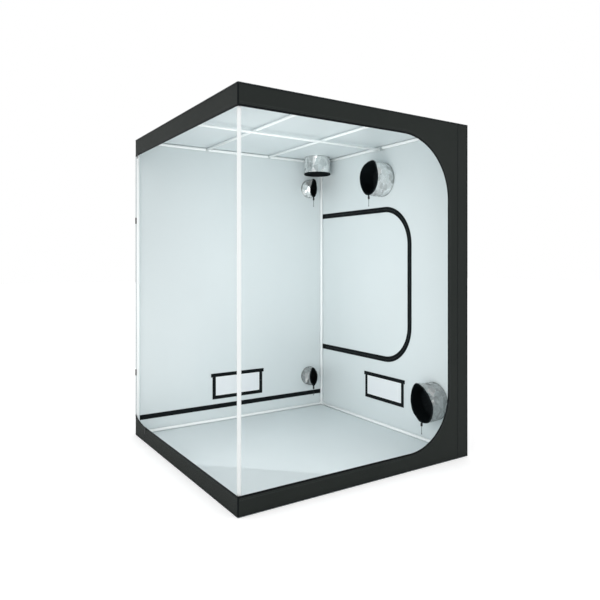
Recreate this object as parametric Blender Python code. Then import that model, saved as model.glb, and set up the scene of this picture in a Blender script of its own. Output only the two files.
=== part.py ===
"""Indoor grow tent: a tube frame under a reflective cloth cover, in metres with +Z up.

The origin is the centre of the underside of the floor. The doorway takes up the front (-Y)
and the left side (-X). Its one door is rolled up behind the back-left corner.
"""

import math

import bmesh
import bpy
from mathutils import Matrix, Vector

# Frame, measured from tube axis to tube axis
FRAME_WIDTH = 1.500
FRAME_DEPTH = 1.500
FRAME_HEIGHT = 1.955
TUBE_RADIUS = 0.0100
TUBE_WALL = 0.0012
BAR_RADIUS = 0.0080
BAR_WALL = 0.0010

# Cloth and the clearance between any two pieces that touch
CLOTH = 0.0012
FLOOR_THICKNESS = 0.0025
FIT = 0.0003
OVERRUN = 0.020

# Corner connectors: a hub with three stepped pins that plug into the tubes
HUB_STEP = 0.0015
HUB_BEVEL = 0.0030
COLLAR_REACH = 0.0200
SPIGOT_LENGTH = 0.0350
HUB_RADIUS = TUBE_RADIUS + HUB_STEP
SPIGOT_RADIUS = TUBE_RADIUS - TUBE_WALL - FIT

# Planes and levels that the frame sets for the cover
HALF_WIDTH = FRAME_WIDTH / 2
HALF_DEPTH = FRAME_DEPTH / 2
IN_X = HALF_WIDTH + HUB_RADIUS + FIT
IN_Y = HALF_DEPTH + HUB_RADIUS + FIT
OUT_X = IN_X + CLOTH
OUT_Y = IN_Y + CLOTH
RAIL_LOW = FLOOR_THICKNESS + FIT + HUB_RADIUS
RAIL_TOP = RAIL_LOW + FRAME_HEIGHT
ROOF_LOW = RAIL_TOP + HUB_RADIUS + FIT
ROOF_TOP = ROOF_LOW + CLOTH
WALL_LOW = FLOOR_THICKNESS + FIT
WALL_TOP = ROOF_LOW - FIT

# Ceiling bars, each held by a thin open clip on the rail at either end
BAR_OFFSET = 0.255
CLIP_LENGTH = 0.020
CLIP_RADIUS = HUB_RADIUS
CLIP_BORE = TUBE_RADIUS + FIT
CLIP_MID = (CLIP_RADIUS + CLIP_BORE) / 2
CLIP_START = math.radians(-170)
CLIP_END = math.radians(80)
BAR_END_GAP = 0.0020
BAR_SETBACK = CLIP_RADIUS + BAR_END_GAP
TONGUE_WIDTH = 0.0050
TONGUE_REACH = 0.0300
LEG_HALF = 0.0040
CROSS_DROP = 2 * BAR_RADIUS + FIT

# Doorway: heights of the two bands of cloth, the front margin and the corner radii
TOP_BAND = 0.110
LOW_BAND = 0.098
FRONT_MARGIN = 0.166
DOOR_TOP_RADIUS = 0.350
DOOR_LOW_RADIUS = 0.300
BAND_RISE = 0.038
BAND_RISE_LENGTH = 0.200
ZIP_TAPE = 0.010
DOOR_TOP = ROOF_TOP - TOP_BAND
DOOR_LOW = LOW_BAND
DOOR_RIGHT = OUT_X - FRONT_MARGIN

# Rolled door behind the back wall, and its two straps
ROLL_RADIUS = 0.048
WAIST_RADIUS = 0.042
ROLL_INSET = 0.088
ROLL_END_GAP = 0.006
STRAP_WIDTH = 0.040
STRAP_THICKNESS = 0.0012
STRAP_TAB = 0.018
STRAP_FOOT = 0.036
STRAP_FOOT_GAP = 0.024
STRAP_DROP = 0.4323
STRAP_UPPER = DOOR_TOP - STRAP_DROP
STRAP_LOWER = 0.420
WAIST_REACH = 0.110

# Access door in the right wall, a round-cornered flap that folds on its rear edge
ACCESS_DROP = 0.4503
ACCESS_LOW = 0.478
ACCESS_WIDTH = 0.9593
ACCESS_RADIUS = 0.250
ACCESS_BACK_MARGIN = 0.070
ACCESS_TAPE = 0.019
ACCESS_TOP = ROOF_TOP - ACCESS_DROP
ACCESS_HINGE = IN_Y - ACCESS_BACK_MARGIN
ACCESS_FRONT = ACCESS_HINGE - ACCESS_WIDTH

# Vents low in the back and right walls
VENT_WIDTH = 0.410
VENT_HEIGHT = 0.187
VENT_TAPE = 0.026
VENT_EAR = 0.012
VENT_FLANGE = 0.012
FLAP_THICKNESS = 0.0012
BACK_VENT_X = 0.0
BACK_VENT_Z = 0.2575
RIGHT_VENT_Y = -0.006
RIGHT_VENT_Z = 0.267

# Black strip along the foot of the back wall
STRIP_LOW = 0.095
STRIP_HEIGHT = 0.033
STRIP_THICKNESS = 0.0012

# Duct ports: radius, reach into the tent, and how far the closed sock stands outside
PORT_SMALL_RADIUS = 0.070
PORT_LARGE_RADIUS = 0.1175
PORT_ROOF_RADIUS = 0.094
PORT_SMALL_REACH = 0.065
PORT_UPPER_REACH = 0.125
PORT_LOWER_REACH = 0.105
PORT_ROOF_REACH = 0.125
PORT_POUCH = 0.040
ROOF_POUCH = 0.030
SLEEVE_WALL = 0.0012
SOCK_WALL = 0.0012
SOCK_GAP = 0.0008
HEM_LENGTH = 0.012
HEM_STEP = 0.0025
TIGHT_PINCH_SHARE = 0.60
LOOSE_PINCH_SHARE = 0.20
POINT_POWER = 1.62
MOUTH_SHARES = (0, 0.40, 0.72, 1)
# Gathered end of the sock, as shares: depth of the pouch, radius, and depth of the pleats
GATHER_SHARES = ((0, 1, 0), (0.40, 0.95, 0.04), (0.75, 0.60, 0.16), (1, 0.16, 0.30))
BACK_PORT_INSET = 0.1298
BACK_PORT_DROP = 0.2323
BACK_PORT_LOW = 0.250
RIGHT_PORT_HIGH_Y = 0.002
RIGHT_PORT_DROP = 0.2373
RIGHT_PORT_INSET = 0.270
RIGHT_PORT_LOW = 0.277
ROOF_PORT_INSET = 0.1448
BACK_PORT_X = IN_X - BACK_PORT_INSET
BACK_PORT_HIGH = ROOF_TOP - BACK_PORT_DROP
RIGHT_PORT_HIGH = ROOF_TOP - RIGHT_PORT_DROP
RIGHT_PORT_LOW_Y = -OUT_Y + RIGHT_PORT_INSET
ROOF_PORT_X = IN_X - ROOF_PORT_INSET
ROOF_PORT_Y = IN_Y - ROOF_PORT_INSET

# Drawcord tail and the cord lock that slides on it
CORD_RADIUS = 0.0015
CORD_TAIL = 0.075
CORD_KNOT_RADIUS = 0.0035
CORD_SUNK = 0.0008
LOCK_RADIUS = 0.0070
LOCK_LENGTH = 0.020
LOCK_ROUND = 0.0025
LOCK_GAP = 0.004

# Zip sliders and their pulls
SLIDER_LENGTH = 0.014
SLIDER_WIDTH = 0.010
SLIDER_PLATE = 0.0030
SLIDER_BACK = 0.0016
SLIDER_BEVEL = 0.0010
LOOP_WIRE = 0.0012
LOOP_EAR = 0.0020
PULL_EYE = 0.0030
PULL_EYE_LENGTH = 0.0060
PULL_LENGTH = 0.030
PULL_WIDTH = 0.0080
PULL_THICKNESS = 0.0016
SLIDER_BACK_GAP = 0.060

# Facets
TUBE_SIDES = 16
PORT_SIDES = 20
CORNER_STEPS = 8
CLIP_STEPS = 12
RISE_STEPS = 5
SMALL_SIDES = 8
PIN_SIDES = 12
KNOT_STEPS = 4
ROLL_SIDES = 24


def clear_scene():
    for item in list(bpy.data.objects):
        bpy.data.objects.remove(item)


def make_material(name, colour, roughness, metallic):
    """A Principled material from a linear colour."""
    material = bpy.data.materials.new(name)
    material.use_nodes = True
    shader = material.node_tree.nodes["Principled BSDF"]
    shader.inputs["Base Color"].default_value = (*colour, 1.0)
    shader.inputs["Roughness"].default_value = roughness
    shader.inputs["Metallic"].default_value = metallic
    material.diffuse_color = (*colour, 1.0)
    return material


def as_mesh(work, name):
    """Turns a bmesh into a mesh with its faces pointing out."""
    bmesh.ops.recalc_face_normals(work, faces=work.faces)
    mesh = bpy.data.meshes.new(name)
    work.to_mesh(mesh)
    work.free()
    return mesh


def combine(base, tools, operation):
    """Fuses or cuts closed meshes with the exact solver and returns the result."""
    body = bpy.data.objects.new("body", base)
    bpy.context.scene.collection.objects.link(body)
    helpers = []
    for tool in tools:
        helper = bpy.data.objects.new("helper", tool)
        bpy.context.scene.collection.objects.link(helper)
        helpers.append(helper)
        modifier = body.modifiers.new(operation.lower(), "BOOLEAN")
        modifier.object = helper
        modifier.operation = operation
        modifier.solver = "EXACT"
    graph = bpy.context.evaluated_depsgraph_get()
    mesh = bpy.data.meshes.new_from_object(body.evaluated_get(graph))
    for item in [body, *helpers]:
        bpy.data.objects.remove(item)
    return mesh


def place(name, mesh, material, origin=(0, 0, 0), turn=None):
    """One named object. The mesh is built around the object's own origin."""
    item = bpy.data.objects.new(name, mesh)
    bpy.context.scene.collection.objects.link(item)
    if not mesh.materials:
        mesh.materials.append(material)
    mesh.materials[0] = material
    item.location = Vector(origin)
    if turn is not None:
        item.rotation_euler = turn.to_euler()
    return item


def shift(mesh, offset):
    """Moves a mesh's points, so that its object's origin lies somewhere else."""
    mesh.transform(Matrix.Translation(Vector(offset)))
    return mesh


def arc(centre, radius, start, end, steps):
    """Points along an arc, both ends included."""
    points = []
    for step in range(steps + 1):
        angle = start + (end - start) * step / steps
        across = centre[0] + radius * math.cos(angle)
        up = centre[1] + radius * math.sin(angle)
        points.append((across, up))
    return points


def prism(outline, near, far, put):
    """A closed solid: a flat outline carried from near to far by put(u, v, w)."""
    work = bmesh.new()
    front = [work.verts.new(put(u, v, near)) for u, v in outline]
    back = [work.verts.new(put(u, v, far)) for u, v in outline]
    work.faces.new(front)
    work.faces.new(list(reversed(back)))
    count = len(outline)
    for index in range(count):
        after = (index + 1) % count
        work.faces.new((front[index], back[index], back[after], front[after]))
    return as_mesh(work, "prism")


def along_x(u, v, w):
    return Vector((w, u, v))


def along_y(u, v, w):
    return Vector((u, w, v))


def along_z(u, v, w):
    return Vector((u, v, w))


def rectangle(low_u, high_u, low_v, high_v):
    return [(low_u, low_v), (high_u, low_v), (high_u, high_v), (low_u, high_v)]


def block(low, high):
    """A box between two corners."""
    base = rectangle(low[0], high[0], low[1], high[1])
    return prism(base, low[2], high[2], along_z)


def loft(rings, closed_start, closed_end, looped=False):
    """A closed skin through rings of points, each quad split on its shorter diagonal."""
    work = bmesh.new()
    rows = [[work.verts.new(point) for point in ring] for ring in rings]
    count = len(rows[0])
    pairs = list(zip(rows, rows[1:]))
    if looped:
        pairs.append((rows[-1], rows[0]))
    for lower, upper in pairs:
        for index in range(count):
            after = (index + 1) % count
            a, b, c, d = lower[index], lower[after], upper[after], upper[index]
            if (a.co - c.co).length < (b.co - d.co).length:
                work.faces.new((a, b, c))
                work.faces.new((a, c, d))
            else:
                work.faces.new((a, b, d))
                work.faces.new((b, c, d))
    for closed, row in ((closed_start, rows[0]), (closed_end, rows[-1])):
        if closed:
            work.faces.new(row)
    return as_mesh(work, "loft")


def turned(profile, sides, put=along_z):
    """A solid turned about w from (radius, w) pairs; both ends are flat discs."""
    rings = [[put(u, v, w) for u, v in circle(radius, sides)] for radius, w in profile]
    return loft(rings, True, True)


def turned_ring(profile, sides, put=along_z):
    """A ring turned about w, whose profile closes on itself."""
    rings = [[put(u, v, w) for u, v in circle(radius, sides)] for radius, w in profile]
    return loft(rings, False, False, looped=True)


def circle(radius, sides):
    points = []
    for side in range(sides):
        angle = math.tau * side / sides
        points.append((radius * math.cos(angle), radius * math.sin(angle)))
    return points


def tube(length, radius, wall, sides):
    """A tube along Z, centred on its own origin and open at both ends."""
    half = length / 2
    bore = radius - wall
    profile = [(radius, -half), (radius, half), (bore, half), (bore, -half)]
    return turned_ring(profile, sides)


TO_X = Matrix.Rotation(math.pi / 2, 4, "Y")
TO_Y = Matrix.Rotation(-math.pi / 2, 4, "X")


# Frame: posts, rails, corner connectors and ceiling bars
def make_frame(white, grey):
    """Posts and rails are tubes whose ends stop short of the corner connectors' collars."""
    end_gap = COLLAR_REACH + FIT
    post = tube(FRAME_HEIGHT - 2 * end_gap, TUBE_RADIUS, TUBE_WALL, TUBE_SIDES)
    wide = tube(FRAME_WIDTH - 2 * end_gap, TUBE_RADIUS, TUBE_WALL, TUBE_SIDES)
    deep = tube(FRAME_DEPTH - 2 * end_gap, TUBE_RADIUS, TUBE_WALL, TUBE_SIDES)
    middle = (RAIL_LOW + RAIL_TOP) / 2
    for row, y in (("front", -HALF_DEPTH), ("back", HALF_DEPTH)):
        for side, x in (("left", -HALF_WIDTH), ("right", HALF_WIDTH)):
            place(f"post_{row}_{side}", post, white, (x, y, middle))
    for level, z in (("bottom", RAIL_LOW), ("top", RAIL_TOP)):
        for row, y in (("front", -HALF_DEPTH), ("back", HALF_DEPTH)):
            place(f"rail_{level}_{row}", wide, white, (0, y, z), TO_X)
        for side, x in (("left", -HALF_WIDTH), ("right", HALF_WIDTH)):
            place(f"rail_{level}_{side}", deep, white, (x, 0, z), TO_Y)
    make_connectors(grey)


def make_connectors(material):
    """Three-way connector: pins along +X, +Y and +Z, then turned into each corner."""
    hub = bmesh.new()
    bmesh.ops.create_cube(hub, size=2 * HUB_RADIUS)
    bmesh.ops.bevel(hub, geom=hub.edges[:], offset=HUB_BEVEL, segments=1, affect="EDGES")
    spigot_end = COLLAR_REACH + SPIGOT_LENGTH
    profile = [
        (TUBE_RADIUS, 0),
        (TUBE_RADIUS, COLLAR_REACH),
        (SPIGOT_RADIUS, COLLAR_REACH),
        (SPIGOT_RADIUS, spigot_end),
    ]
    pins = [turned(profile, PIN_SIDES, put) for put in (along_x, along_y, along_z)]
    shape = combine(as_mesh(hub, "hub"), pins, "UNION")
    shape.name = "corner_connector"
    corners = (
        ("front_left", -1, -1, 0),
        ("front_right", 1, -1, 1),
        ("back_right", 1, 1, 2),
        ("back_left", -1, 1, 3),
    )
    flip = Matrix.Rotation(math.pi, 4, Vector((1, 1, 0)))
    for name, side_x, side_y, quarters in corners:
        turn = Matrix.Rotation(quarters * math.pi / 2, 4, "Z")
        x = side_x * HALF_WIDTH
        y = side_y * HALF_DEPTH
        place(f"corner_bottom_{name}", shape, material, (x, y, RAIL_LOW), turn)
        place(f"corner_top_{name}", shape, material, (x, y, RAIL_TOP), turn @ flip)


def bar_shape(span, drop):
    """A bar along X, centred between two rails, with a clip at each end."""
    half = span / 2
    bar = tube(span - 2 * BAR_SETBACK, BAR_RADIUS, BAR_WALL, TUBE_SIDES)
    bar.transform(Matrix.Translation(Vector((0, 0, -drop))) @ TO_X)
    grip = BAR_RADIUS - BAR_WALL / 2
    outline = arc((0, 0), CLIP_RADIUS, CLIP_START, CLIP_END, CLIP_STEPS)
    outline += arc((0, 0), CLIP_BORE, CLIP_END, CLIP_START, CLIP_STEPS)
    tongue = rectangle(CLIP_MID, TONGUE_REACH, -grip, grip)
    if drop:
        tongue = rectangle(-LEG_HALF, TONGUE_REACH, -drop - grip, -CLIP_MID)
    fittings = []
    for side in (-1, 1):
        def at_end(u, v, w):
            return Vector((side * (half - u), w, v))
        fittings.append(prism(outline, -CLIP_LENGTH / 2, CLIP_LENGTH / 2, at_end))
        fittings.append(prism(tongue, -TONGUE_WIDTH / 2, TONGUE_WIDTH / 2, at_end))
    return combine(bar, fittings, "UNION")


def make_ceiling_bars(white):
    """Two bars run front to back at the thirds, and one crosses just below them."""
    quarter = Matrix.Rotation(math.pi / 2, 4, "Z")
    lengthwise = bar_shape(FRAME_DEPTH, 0)
    for name, x in (("left", -BAR_OFFSET), ("right", BAR_OFFSET)):
        place(f"ceiling_bar_{name}", lengthwise, white, (x, 0, RAIL_TOP), quarter)
    crosswise = bar_shape(FRAME_WIDTH, CROSS_DROP)
    place("ceiling_cross_bar", crosswise, white, (0, 0, RAIL_TOP))


# Cover: floor, roof, walls and the cloth round the doorway
def doorway_front(grow):
    """The front part of the doorway from above the near corner round to below it."""
    right = DOOR_RIGHT
    top_centre = (right - DOOR_TOP_RADIUS, DOOR_TOP - DOOR_TOP_RADIUS)
    low_centre = (right - DOOR_LOW_RADIUS, DOOR_LOW + DOOR_LOW_RADIUS)
    quarter = math.pi / 2
    points = arc(top_centre, DOOR_TOP_RADIUS + grow, quarter, 0, CORNER_STEPS)
    points += arc(low_centre, DOOR_LOW_RADIUS + grow, 0, -quarter, CORNER_STEPS)
    return points


def doorway_rise(grow, end):
    """The foot of the left doorway, which lifts towards the back corner."""
    start = IN_Y - BAND_RISE_LENGTH
    points = []
    for step in range(RISE_STEPS + 1):
        share = step / RISE_STEPS
        y = start + (end - start) * share
        points.append((y, DOOR_LOW - grow + BAND_RISE * share**2))
    return points


def access_outline(grow, back):
    """The access door's zip line: straight at the back, round at the front."""
    quarter = math.pi / 2
    radius = ACCESS_RADIUS + grow
    middle = ACCESS_FRONT + ACCESS_RADIUS
    top_centre = (middle, ACCESS_TOP - ACCESS_RADIUS)
    low_centre = (middle, ACCESS_LOW + ACCESS_RADIUS)
    points = [(back, ACCESS_TOP + grow)]
    points += arc(top_centre, radius, quarter, 2 * quarter, CORNER_STEPS)
    points += arc(low_centre, radius, 2 * quarter, 3 * quarter, CORNER_STEPS)
    points.append((back, ACCESS_LOW - grow))
    return points


def vent_outline(middle_u, middle_v, grow):
    """The clear window of a vent, inside its tape."""
    half_u = VENT_WIDTH / 2 - VENT_TAPE + grow
    half_v = VENT_HEIGHT / 2 - VENT_TAPE + grow
    return rectangle(middle_u - half_u, middle_u + half_u, middle_v - half_v, middle_v + half_v)


def port_cutter(radius, centre, near, far, put):
    """A round cutter for the hole behind a duct port."""
    hole = [(centre[0] + u, centre[1] + v) for u, v in circle(radius - SLEEVE_WALL, PORT_SIDES)]
    return prism(hole, near, far, put)


def make_cover(white, black, floor_white):
    floor = block((-OUT_X, -OUT_Y, 0), (OUT_X, OUT_Y, FLOOR_THICKNESS))
    place("floor_panel", floor, floor_white)

    roof = block((-OUT_X, -OUT_Y, ROOF_LOW), (OUT_X, OUT_Y, ROOF_TOP))
    middle = (ROOF_PORT_X, ROOF_PORT_Y)
    low, high = ROOF_LOW - OVERRUN, ROOF_TOP + OVERRUN
    hole = port_cutter(PORT_ROOF_RADIUS, middle, low, high, along_z)
    place("roof_panel", combine(roof, [hole], "DIFFERENCE"), black)

    make_back_wall(white)
    make_right_wall(white)
    make_door_surround(black)


def make_back_wall(material):
    wall = block((-OUT_X, IN_Y, WALL_LOW), (OUT_X, OUT_Y, WALL_TOP))
    near, far = IN_Y - OVERRUN, OUT_Y + OVERRUN
    cutters = [prism(vent_outline(BACK_VENT_X, BACK_VENT_Z, 0), near, far, along_y)]
    for z in (BACK_PORT_HIGH, BACK_PORT_LOW):
        cutters.append(port_cutter(PORT_SMALL_RADIUS, (BACK_PORT_X, z), near, far, along_y))
    place("back_wall", combine(wall, cutters, "DIFFERENCE"), material)


def make_right_wall(material):
    wall = block((IN_X, -IN_Y + FIT, WALL_LOW), (OUT_X, IN_Y - FIT, WALL_TOP))
    near, far = IN_X - OVERRUN, OUT_X + OVERRUN
    cutters = [
        prism(access_outline(0, ACCESS_HINGE), near, far, along_x),
        prism(vent_outline(RIGHT_VENT_Y, RIGHT_VENT_Z, 0), near, far, along_x),
    ]
    for centre in ((RIGHT_PORT_HIGH_Y, RIGHT_PORT_HIGH), (RIGHT_PORT_LOW_Y, RIGHT_PORT_LOW)):
        cutters.append(port_cutter(PORT_LARGE_RADIUS, centre, near, far, along_x))
    place("right_wall", combine(wall, cutters, "DIFFERENCE"), material)


def make_door_surround(material):
    """The front margin and both bands, one cloth that turns the near corner."""
    back = IN_Y - FIT
    plan = [(-OUT_X, back), (-OUT_X, -OUT_Y), (OUT_X, -OUT_Y)]
    plan += [(OUT_X, -IN_Y), (-IN_X, -IN_Y), (-IN_X, back)]
    cloth = prism(plan, WALL_LOW, WALL_TOP, along_z)
    clear = ZIP_TAPE
    side = -OUT_X - OVERRUN
    front = [(side, DOOR_TOP + clear), *doorway_front(clear), (side, DOOR_LOW - clear)]
    front_cut = prism(front, -OUT_Y - OVERRUN, -IN_Y + OVERRUN, along_y)
    left = [(-OUT_Y - OVERRUN, DOOR_LOW - clear), *doorway_rise(clear, back)]
    left += [(IN_Y + OVERRUN, DOOR_LOW - clear + BAND_RISE)]
    left += [(IN_Y + OVERRUN, DOOR_TOP + clear), (-OUT_Y - OVERRUN, DOOR_TOP + clear)]
    left_cut = prism(left, -OUT_X - OVERRUN, -IN_X + OVERRUN, along_x)
    place("door_surround", combine(cloth, [front_cut, left_cut], "DIFFERENCE"), material)


# Rolled door, its straps, and the zip round the doorway
def roll_section(radius):
    """The lead from the corner seam along the wall, then once round the roll."""
    wall = OUT_Y + FIT
    centre_x = -OUT_X + ROLL_INSET
    centre = (centre_x, wall + radius)
    lead_height = CLOTH
    dip = math.acos((radius - lead_height) / radius)
    start = -math.pi / 2 - dip
    points = [(-OUT_X, wall), (-OUT_X, wall + lead_height)]
    points += arc(centre, radius, start, start - math.tau + dip, ROLL_SIDES)
    return points


def make_rolled_door(material):
    """The door's cloth as one rolled body, drawn in where each strap holds it."""
    half = STRAP_WIDTH / 2
    levels = [(DOOR_LOW + ROLL_END_GAP, ROLL_RADIUS)]
    for centre in (STRAP_LOWER, STRAP_UPPER):
        levels.append((centre - WAIST_REACH, ROLL_RADIUS))
        levels.append((centre - half - FIT, WAIST_RADIUS))
        levels.append((centre + half + FIT, WAIST_RADIUS))
        levels.append((centre + WAIST_REACH, ROLL_RADIUS))
    levels.append((DOOR_TOP - ROLL_END_GAP, ROLL_RADIUS))
    rings = []
    for z, radius in levels:
        rings.append([Vector((x, y, z)) for x, y in roll_section(radius)])
    place("main_door_roll", loft(rings, True, True), material)


def tangent_angle(point, centre, radius, side):
    """The angle on a circle at which a line from a point outside just touches it."""
    dx, dy = point[0] - centre[0], point[1] - centre[1]
    return math.atan2(dy, dx) + side * math.acos(radius / math.hypot(dx, dy))


def offset_path(path, offset):
    """A path moved sideways by an offset, with mitred corners."""
    moved = []
    for index, point in enumerate(path):
        before = path[max(index - 1, 0)]
        after = path[min(index + 1, len(path) - 1)]
        into = Vector(point) - Vector(before)
        onward = Vector(after) - Vector(point)
        into = (into if into.length else onward).normalized()
        onward = (onward if onward.length else into).normalized()
        mitre = Vector((-into.y - onward.y, into.x + onward.x)).normalized()
        reach = offset / mitre.dot(Vector((-into.y, into.x)))
        moved.append((point[0] + mitre.x * reach, point[1] + mitre.y * reach))
    return moved


def make_straps(material):
    """Webbing from a tab inside the corner, round the corner and over the roll."""
    half = STRAP_THICKNESS / 2
    inside = IN_Y - FIT - half
    corner = -OUT_X - FIT - half
    outside = OUT_Y + 2 * FIT + CLOTH + half
    wall = OUT_Y + FIT + half
    roll_x = -OUT_X + ROLL_INSET
    centre = (roll_x, OUT_Y + FIT + WAIST_RADIUS)
    radius = WAIST_RADIUS + FIT + half
    foot = roll_x + WAIST_RADIUS + STRAP_FOOT_GAP
    start = tangent_angle((corner, outside), centre, radius, -1)
    end = tangent_angle((foot, wall), centre, radius, 1)
    path = [(-OUT_X + STRAP_TAB, inside), (corner, inside), (corner, outside)]
    path += arc(centre, radius, start % math.tau, end, ROLL_SIDES // 2)
    path += [(foot, wall), (foot + STRAP_FOOT, wall)]
    outline = offset_path(path, half) + list(reversed(offset_path(path, -half)))
    for name, z in (("upper", STRAP_UPPER), ("lower", STRAP_LOWER)):
        low, high = z - STRAP_WIDTH / 2, z + STRAP_WIDTH / 2
        place(f"door_strap_{name}", prism(outline, low, high, along_z), material)


def make_main_zip(material):
    """The zip tape fills the edge of the doorway, from the back corner and round again."""
    back = IN_Y - FIT

    def edge(grow):
        points = [("left", back, DOOR_TOP + grow), ("corner", 0, DOOR_TOP + grow)]
        points += [("front", x, z) for x, z in doorway_front(grow)]
        points += [("corner", 0, DOOR_LOW - grow)]
        points += [("left", y, z) for y, z in doorway_rise(grow, back)]
        return points

    def wrap(point, depth):
        side, along, z = point
        if side == "corner":
            return Vector((-OUT_X + depth, -OUT_Y + depth, z))
        if side == "left":
            return Vector((-OUT_X + depth, along, z))
        return Vector((along, -OUT_Y + depth, z))

    rings = []
    for inner, outer in zip(edge(0), edge(ZIP_TAPE - FIT)):
        ring = [wrap(inner, 0), wrap(outer, 0), wrap(outer, CLOTH), wrap(inner, CLOTH)]
        rings.append(ring)
    place("main_zip", loft(rings, True, True), material)


# Zip sliders: local X runs along the zip, Y across it to the cloth, Z out of the wall
def loop_height():
    """How far the wire that carries the pull stands off the slider's plate."""
    return PULL_EYE + FIT


def slider_shape(clamp):
    """A bevelled plate with a wire loop; a clamp also grips the tape from behind."""
    plate = bmesh.new()
    bmesh.ops.create_cube(plate, size=1)
    bmesh.ops.scale(plate, vec=(SLIDER_LENGTH, SLIDER_WIDTH, SLIDER_PLATE), verts=plate.verts)
    lift = Vector((0, 0, FIT + SLIDER_PLATE / 2))
    bmesh.ops.translate(plate, vec=lift, verts=plate.verts)
    bmesh.ops.bevel(plate, geom=plate.edges[:], offset=SLIDER_BEVEL, segments=1, affect="EDGES")
    top = FIT + SLIDER_PLATE
    wire = top + loop_height()
    ear_in = PULL_EYE_LENGTH / 2 + FIT
    ear_out = ear_in + LOOP_EAR
    sunk = top - SLIDER_PLATE / 2
    parts = []
    for side in (-1, 1):
        low_x, high_x = sorted((side * ear_in, side * ear_out))
        ear_low = (low_x, -LOOP_EAR, sunk)
        parts.append(block(ear_low, (high_x, LOOP_EAR, wire + 2 * LOOP_WIRE)))
    middle = ear_in + LOOP_EAR / 2
    rod = [(LOOP_WIRE, -middle), (LOOP_WIRE, middle)]
    parts.append(shift(turned(rod, PIN_SIDES, along_x), (0, 0, wire)))
    if clamp:
        parts.append(clamp_shape(top, sunk))
    return combine(as_mesh(plate, "plate"), parts, "UNION")


def clamp_shape(top, sunk):
    """The part of a slider that goes round the free edge of the tape to its back."""
    half_width = SLIDER_WIDTH / 2
    inset = SLIDER_LENGTH / 2 - SLIDER_BEVEL
    back_high = -CLOTH - FIT
    back_low = back_high - SLIDER_BACK
    web_in = -half_width - 2 * FIT
    web_out = web_in - SLIDER_BACK
    face = top - SLIDER_BEVEL
    outline = [(half_width, back_high), (half_width, back_low), (web_out, back_low)]
    outline += [(web_out, face), (0, face), (0, sunk), (web_in, sunk), (web_in, back_high)]
    return prism(outline, -inset, inset, along_x)


def pull_shape():
    """A tab that hangs from an eye; the eye's bore lies along local X at the origin."""
    bore = LOOP_WIRE + FIT
    half = PULL_EYE_LENGTH / 2
    ring = [(PULL_EYE, -half), (PULL_EYE, half), (bore, half), (bore, -half)]
    eye = turned_ring(ring, PIN_SIDES, along_x)
    neck = (PULL_EYE + bore) / 2
    neck_low = (-half + FIT, -PULL_EYE - LOOP_EAR, -PULL_THICKNESS / 2)
    neck_block = block(neck_low, (half - FIT, -neck, PULL_THICKNESS / 2))
    end = -PULL_LENGTH
    wide = PULL_WIDTH / 2
    shoulder = -PULL_EYE - LOOP_EAR / 2
    chamfer = PULL_WIDTH / 4
    outline = [(-wide, shoulder), (-wide, end + chamfer), (-wide + chamfer, end)]
    outline += [(wide - chamfer, end), (wide, end + chamfer), (wide, shoulder)]
    tab = prism(outline, -PULL_THICKNESS / 2, PULL_THICKNESS / 2, along_z)
    return combine(eye, [neck_block, tab], "UNION")


def zip_place(out, along, across):
    """The turn that takes a slider's own axes to the wall that it rides on."""
    columns = Matrix((along, across, out)).transposed()
    return columns.to_4x4()


def make_sliders(metal):
    """Each pull hangs down from the wire loop of its slider."""
    left = (-1, 0, 0)
    up = (0, 0, 1)
    down = (0, 0, -1)
    clamped = slider_shape(True)
    plain = slider_shape(False)
    pull = pull_shape()
    loop = FIT + SLIDER_PLATE + loop_height()

    upper_y = IN_Y - SLIDER_BACK_GAP
    upper_z = DOOR_TOP + SLIDER_WIDTH / 2 + FIT
    turn = zip_place(left, (0, -1, 0), up)
    place("main_zip_slider_upper", clamped, metal, (-OUT_X, upper_y, upper_z), turn)
    place("main_zip_pull_upper", pull, metal, (-OUT_X - loop, upper_y, upper_z), turn)

    lower_y = IN_Y - BAND_RISE_LENGTH - SLIDER_LENGTH
    lower_z = DOOR_LOW - SLIDER_WIDTH / 2 - FIT
    flipped = zip_place(left, (0, 1, 0), down)
    place("main_zip_slider_lower", clamped, metal, (-OUT_X, lower_y, lower_z), flipped)
    place("main_zip_pull_lower", pull, metal, (-OUT_X - loop, lower_y, lower_z), turn)

    access_y = ACCESS_HINGE + ACCESS_BACK_MARGIN / 2
    access_z = ACCESS_TOP + SLIDER_WIDTH / 2 + FIT
    turn = zip_place((1, 0, 0), (0, 1, 0), up)
    place("access_zip_slider", plain, metal, (OUT_X, access_y, access_z), turn)
    place("access_zip_pull", pull, metal, (OUT_X + loop, access_y, access_z), turn)


# Access door, vents and the strip at the foot of the back wall
def make_access_door(white, black):
    """The door's own origin lies on its fold line, in the plane of the wall's outside."""
    hinge = Vector((OUT_X, ACCESS_HINGE, 0))
    door = prism(access_outline(-FIT, ACCESS_HINGE - FIT), IN_X, OUT_X, along_x)
    place("access_door", shift(door, -hinge), white, hinge)

    end = IN_Y - FIT
    tape = ACCESS_TAPE
    fold = ACCESS_HINGE + FIT
    line = access_outline(0, fold)
    outline = access_outline(tape, end)
    outline += [(end, ACCESS_LOW + tape), (fold, ACCESS_LOW + tape)]
    outline += list(reversed(line))
    outline += [(fold, ACCESS_TOP - tape), (end, ACCESS_TOP - tape)]
    inner = IN_X - FIT
    place("access_zip", prism(outline, inner - CLOTH, inner, along_x), black)


def vent_screen(centre, outer, inner, put):
    """A screen that fills the window, with its binding on the outside of the wall."""
    window = prism(vent_outline(*centre, -FIT), inner, outer + 2 * FIT, put)
    face = outer + FIT
    binding = prism(vent_outline(*centre, VENT_FLANGE), face, face + CLOTH, put)
    return combine(window, [binding], "UNION")


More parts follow.
